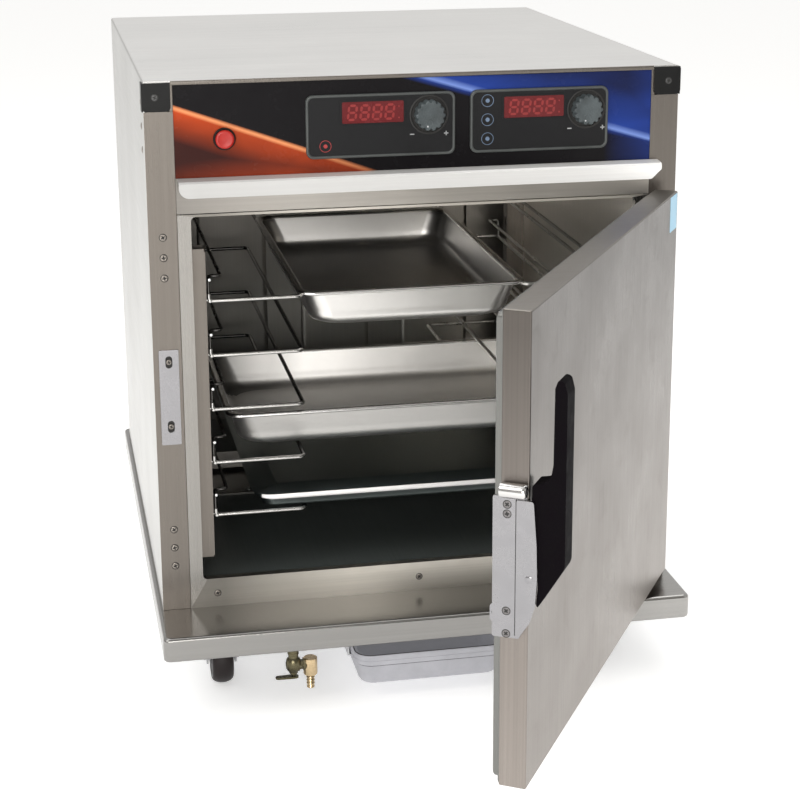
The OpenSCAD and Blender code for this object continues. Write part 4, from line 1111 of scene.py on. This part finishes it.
def pans():
    pan("pan_top_shell", "pan_top", -162, 24, 324, 527, LEVELS[4] + 6.3, 55, "pan_steel", "pan_rim")
    pan("pan_middle_shell", "pan_middle", -263.5, 60, 527, 324, LEVELS[1] + 58.3, 55, "pan_satin", "pan_rim")
    pan("sheet_pan_shell", "sheet_pan", -228, 28, 456, 658, LEVELS[0] + 27.3, 24, "pan_aluminium",
        "sheet_rim", shallow=True)


# ---------------------------------------------------------------- door

def door():
    bm = bmesh.new()
    block(bm, (DOOR_X0, DOOR_Y0, DOOR_Z0), (DOOR_X1, DOOR_Y1 - 1.4, DOOR_Z1))
    obj = finish("door_shell", bm, "stainless_door", "stainless", "door", ["door_skin", "door_insulation"],
                 bevel=2.0, segments=3)
    paint(obj, "stainless_edge", lambda face: face.normal.z > 0.6)
    box = (DOOR_X0, DOOR_Z0, DOOR_X1, DOOR_Z1)
    steps = ((1.7, -1.4), (1.7, -0.4), (2.2, 0.0), (6.0, 0.0), (6.4, 5.5), (7.4, 7.4), (9.2, 8.0))
    rows = [inset_loop("y", box, inset, 3 + inset * 0.5, DOOR_Y1 + up, 5) for inset, up in steps]
    steps = ((28.0, 8.0), (31.0, 6.8), (34.0, 6.2))
    rows += [inset_loop("y", box, inset, 14, DOOR_Y1 + up, 5) for inset, up in steps]
    lofted("door_inner_pan", rows, "door_inner", "stainless_cavity", body="door", nodes=["door_liner"],
           sharp=45)
    box = (-326.0, DOOR_Z0 + 10, 322.0, SEAM - 1)
    y0, y1 = DOOR_Y1 + 8.0, -0.5
    bead = ((0, y0), (0.3, y1 - 1.2), (1.4, y1), (2.8, y1 - 0.3), (4.5, y1 - 2.0), (6.5, y1 - 0.9),
            (8.4, y1 - 1.4), (9.7, y0))
    lofted("gasket_bead", [inset_loop("y", box, inset, 8 - inset * 0.6, y, 5) for inset, y in bead],
           "gasket_rubber", caps=(False, False), body="door", nodes=["door_gasket"], sharp=70)
    label = round_rect(DOOR_X1 - 44, 651, DOOR_X1 - 5, 700, 1.5, 3)
    plated("door_label", [label], "y", DOOR_Y0 - 0.25, DOOR_Y0 + 0.1, "sticker", "stainless", body="door")


def from_face(points):
    """Points of distance out from the door's face, height above the base and radius, as y, z and radius
    of the closed door."""
    return [(DOOR_Y0 - out, SHELF + up, r) for out, up, r in points]


def latch():
    x1, x0 = DOOR_X0, DOOR_X0 - 2.0
    sheet = from_face([(-1, 226, 3), (-9.5, 200.6, 3), (-41, 200, 2), (-41, 366, 2), (-1, 366, 1.5),
                       (-1, 281.5, 1), (5, 281.5, 4), (10.6, 277, 5), (10.6, 271, 5), (5, 266.5, 4),
                       (-1, 266.5, 1)])
    plated("latch_plate_sheet", [soften_closed(sheet)], "x", x0, x1, "latch_zinc", body="door",
           nodes=["latch_plate"], bevel=0.6, segments=3)
    barrel = [(0.4, 0.3), (6.8, 0.3), (8.2, 1.6), (8.5, 4), (8.5, 28), (7.8, 30.2), (6.0, 31), (0.4, 31)]
    bm = bmesh.new()
    lathe(bm, along(DOOR_Y0, barrel), "y", (x1 - 8.7, SHELF + 376), 36)
    block(bm, (x0, DOOR_Y0 + 2, SHELF + 364), (x1 - 0.3, DOOR_Y0 + 29, SHELF + 377))
    finish("latch_barrel", bm, "barrel_bright", "latch_zinc", "door", sharp=40)
    rivet = [(0.2, -6.4), (2.6, -6.25), (3.9, -5.9), (4.4, -5.5), (4.4, -5.2), (3.0, -5.0), (3.0, -2)]
    turned("latch_rivet", along(x1, rivet), "x", (DOOR_Y0 - 2, SHELF + 274), 28, "latch_zinc", body="door",
           sharp=40)
    spots = [("x", DOOR_Y0 + 24.5, SHELF + h, x0, -1, 4.2, 0.3) for h in (205, 232, 346, 357)]
    screw_set("latch_screw_heads", spots, "screw_dull", "screw_steel", "door", ["latch_screws"], 11)
    # Painted shadow: a dark strip along the rear edge of the lever
    bm = bmesh.new()
    block(bm, (x0 - 0.35, DOOR_Y0 + 13.2, SHELF + 204), (x0, DOOR_Y0 + 14.8, SHELF + 364))
    finish("latch_painted_shadow", bm, "dark_gap", "latch_zinc", "door")
    foot, z = DOOR_Y1 + 0.5, SHELF + 227
    hook = [(foot, z - 11, 1.5), (-5, z - 11, 4), (-2.6, z - 8, 3),
            (-2.6, z + 8, 3), (-5, z + 11, 4), (foot, z + 11, 1.5)]
    plated("latch_hook", [soften_closed(hook), ring(-7, z, 2.4, 20)], "x", x1 + 0.5, x1 + 5.4, "latch_zinc",
           body="latch_bolt", nodes=["latch_bolt"], bevel=0.5)


def handle():
    x1 = DOOR_X0 - 2.4
    blade = from_face([(-13, 201, 3), (-9, 203, 3), (3, 222, 12), (9.5, 244, 30),
                       (11.4, 274, 40), (10.4, 314, 40), (6.5, 364.5, 3), (-13, 364.5, 2)])
    plated("lever_blade", [soften_closed(blade)], "x", x1 - 3.0, x1, "latch_zinc", body="handle",
           nodes=["lever_arm"], bevel=0.9, segments=3)
    grip = from_face([(11.5, 241, 2), (41.6, 291, 16), (41.6, 488, 12), (38, 502, 5), (31, 503.6, 3),
                      (27.6, 494, 4), (27, 408, 8), (24.8, 395, 10), (18, 386, 12), (4, 383.5, 4),
                      (3.4, 366, 2), (9.6, 314, 20), (11.2, 284, 8), (11.2, 264, 8), (9.6, 244, 4)])
    plated("grip_hook", [soften_closed(grip, 6)], "x", x1, x1 + 27.8, "grip_black", body="handle",
           nodes=["lever_grip"], bevel=1.4, segments=3, sharp=50)


# ---------------------------------------------------------------- under the base

def drain():
    cx, cy, elbow_x = -193.0, -60.0, -169.0
    nut = [(11.5, 91.8), (13, 90.6), (13, 79.6), (11.5, 78.4)]
    turned("valve_nut", nut, "z", (cx, cy), 6, "brass_dark", "brass", nodes=["drain_valve_body"], sharp=30,
           bevel=0.3)
    stem = [(8, 79), (8, 76), (7.4, 75.4), (7.4, 74), (8, 73.4), (8, 71), (7, 70), (7, 66), (9.6, 63.5),
            (10.9, 58), (11, 54), (10.4, 49.5), (8.2, 46), (6.2, 44.6), (6.2, 42.6), (5.2, 42), (5.2, 41)]
    outlet = [(9, -186), (9, -184.5), (7.2, -184), (7.0, -180), (9.4, -179.6), (9.4, -176)]
    bm = bmesh.new()
    lathe(bm, stem, "z", (cx, cy), 36)
    lathe(bm, outlet, "x", (cy, 54), 6)
    finish("valve_body", bm, "brass_dark", "brass", sharp=35)
    spigot = [(8.6, 64), (9.8, 63), (10, 61), (10, 40), (9.2, 38.4), (6.2, 37.6), (4.6, 36.5),
              (6.0, 34.2), (6.0, 33.4), (4.4, 32.4), (6.0, 29.6), (6.0, 28.8), (4.4, 27.8), (6.0, 25.0),
              (6.0, 24.2), (4.4, 23.2), (5.8, 19.4), (5.2, 18), (3.8, 18), (3.8, 40)]
    turned("hose_elbow", spigot, "z", (elbow_x, cy), 36, "brass", nodes=["drain_elbow"], sharp=35)
    lever = [(7, -4, 4), (7, 4, 4), (-4, 5, 6), (-24, 4, 3.5), (-26, 0, 3), (-24, -4, 3.5), (-4, -5, 6)]
    bm = bmesh.new()
    plate(bm, [soften_closed([(cx + x, cy + y, r) for x, y, r in lever], 6)], "z", 34.6, 37.4)
    lathe(bm, [(3.6, 34.7), (3.4, 34.1), (0.3, 34.0)], "z", (cx, cy), 6)
    lathe(bm, [(2.5, 37.2), (2.5, 48.8)], "z", (cx, cy), 20)
    finish("valve_lever", bm, "brass_dark", "brass", "drain_lever", ["drain_lever"], bevel=0.35)


def drip():
    """Thin pressed pan with a flared skirt and a stepped lower part."""
    box = (-108.0, -89.0, 108.0, 211.0)
    outside = [(6.0, 68.6), (1.6, 69.9), (0.2, 69.0), (0.0, 66.0), (0.3, 56.0), (1.4, 54.2), (3.6, 53.6),
               (4.4, 52.0), (4.8, 44), (5.2, 42.6), (5.2, 40.8), (5.6, 39.5), (7.5, 28.0), (10.0, 24.4),
               (15.0, 23.0)]
    inside = [(17.0, 25.0), (12.0, 27.0), (9.0, 32.0), (7.6, 66.0)]
    bm = bmesh.new()
    outer, inner = ([[bm.verts.new(p) for p in inset_loop("z", box, i, 25 - i * 0.6, z, 10)] for i, z in rows]
                    for rows in (outside, inside))
    for rows in (outer, inner):
        for a, b in zip(rows, rows[1:]):
            skin(bm, a, b)
    bm.faces.new(outer[-1])
    bm.faces.new(inner[0])
    skin(bm, inner[-1], outer[0])
    finish("drip_tub", bm, "drip_plastic", body="drip_pan", nodes=["drip_pan"], sharp=60)
    # Raised bead along the skirt, and painted shade lines at the skirt's two edges
    bm = bmesh.new()
    bead = inset_loop("z", box, 0.4, 24.6, 61.0, 10)
    tube(bm, bead + bead[:2], 0.9, 8, False)
    finish("drip_bead", bm, "drip_plastic", body="drip_pan", sharp=70)
    bm = bmesh.new()
    for z, inset in ((69.6, 1.9), (53.4, 3.4)):
        line = inset_loop("z", box, inset, 24 - inset * 0.6, z, 10)
        tube(bm, line + line[:2], 0.75, 8, False)
    finish("drip_edge_shade", bm, "dark_gap", "drip_plastic", "drip_pan", sharp=70)


def casters():
    turns = [math.radians(a) for a in range(-80, 81, 16)]
    tread = [(30, -14.4)] + [(29.5 + 8.0 * math.cos(t), 15.2 * math.sin(t)) for t in turns] + [(30, 14.4)]
    hub = [(29.8, 14.5), (28, 15.2), (26.4, 15.0), (25, 12.6),
           (13, 12.0), (11.6, 15.2), (10, 16.0), (4.2, 16.0)]
    for end, cy in (("front", -5.0), ("rear", 745.0)):
        for sx, side in SIDES:
            cx, centre = sx * 286.0, (cy + 30, 37.5)
            body = f"caster_wheel_{end}_{side}"
            bm = bmesh.new()
            lathe(bm, along(cx, tread), "x", centre, 56)
            finish(f"tread_{end}_{side}", bm, "caster_tread", body=body, nodes=[body], sharp=60)
            bm = bmesh.new()
            for out in (-1, 1):
                lathe(bm, [(r, cx + out * w) for r, w in hub], "x", centre, 48, False)
            finish(f"hub_{end}_{side}", bm, "caster_hub", "caster_tread", body, sharp=50)


# ---------------------------------------------------------------- build

def dress_nodes():
    """Procedural finishes for the CAD nodes that stay in view."""
    slots = {s["node"]: s["material_slot"] for s in frame["record"]["subparts"]}
    for name, obj in frame["nodes"].items():
        mat = MATS[slots[name]]
        if obj.data.materials:
            for i in range(len(obj.data.materials)):
                obj.data.materials[i] = mat
        else:
            obj.data.materials.append(mat)


camera()
studio()
sheet_metals()
small_metals()
plastics()

base()
wrap()
posts()
back()
header_and_frame()
visor()
panel()
modules()
switch()
cavity()
uprights()
slides()
strike()
cabinet_screws()
pans()
door()
latch()
handle()
drain()
drip()
casters()
dress_nodes()
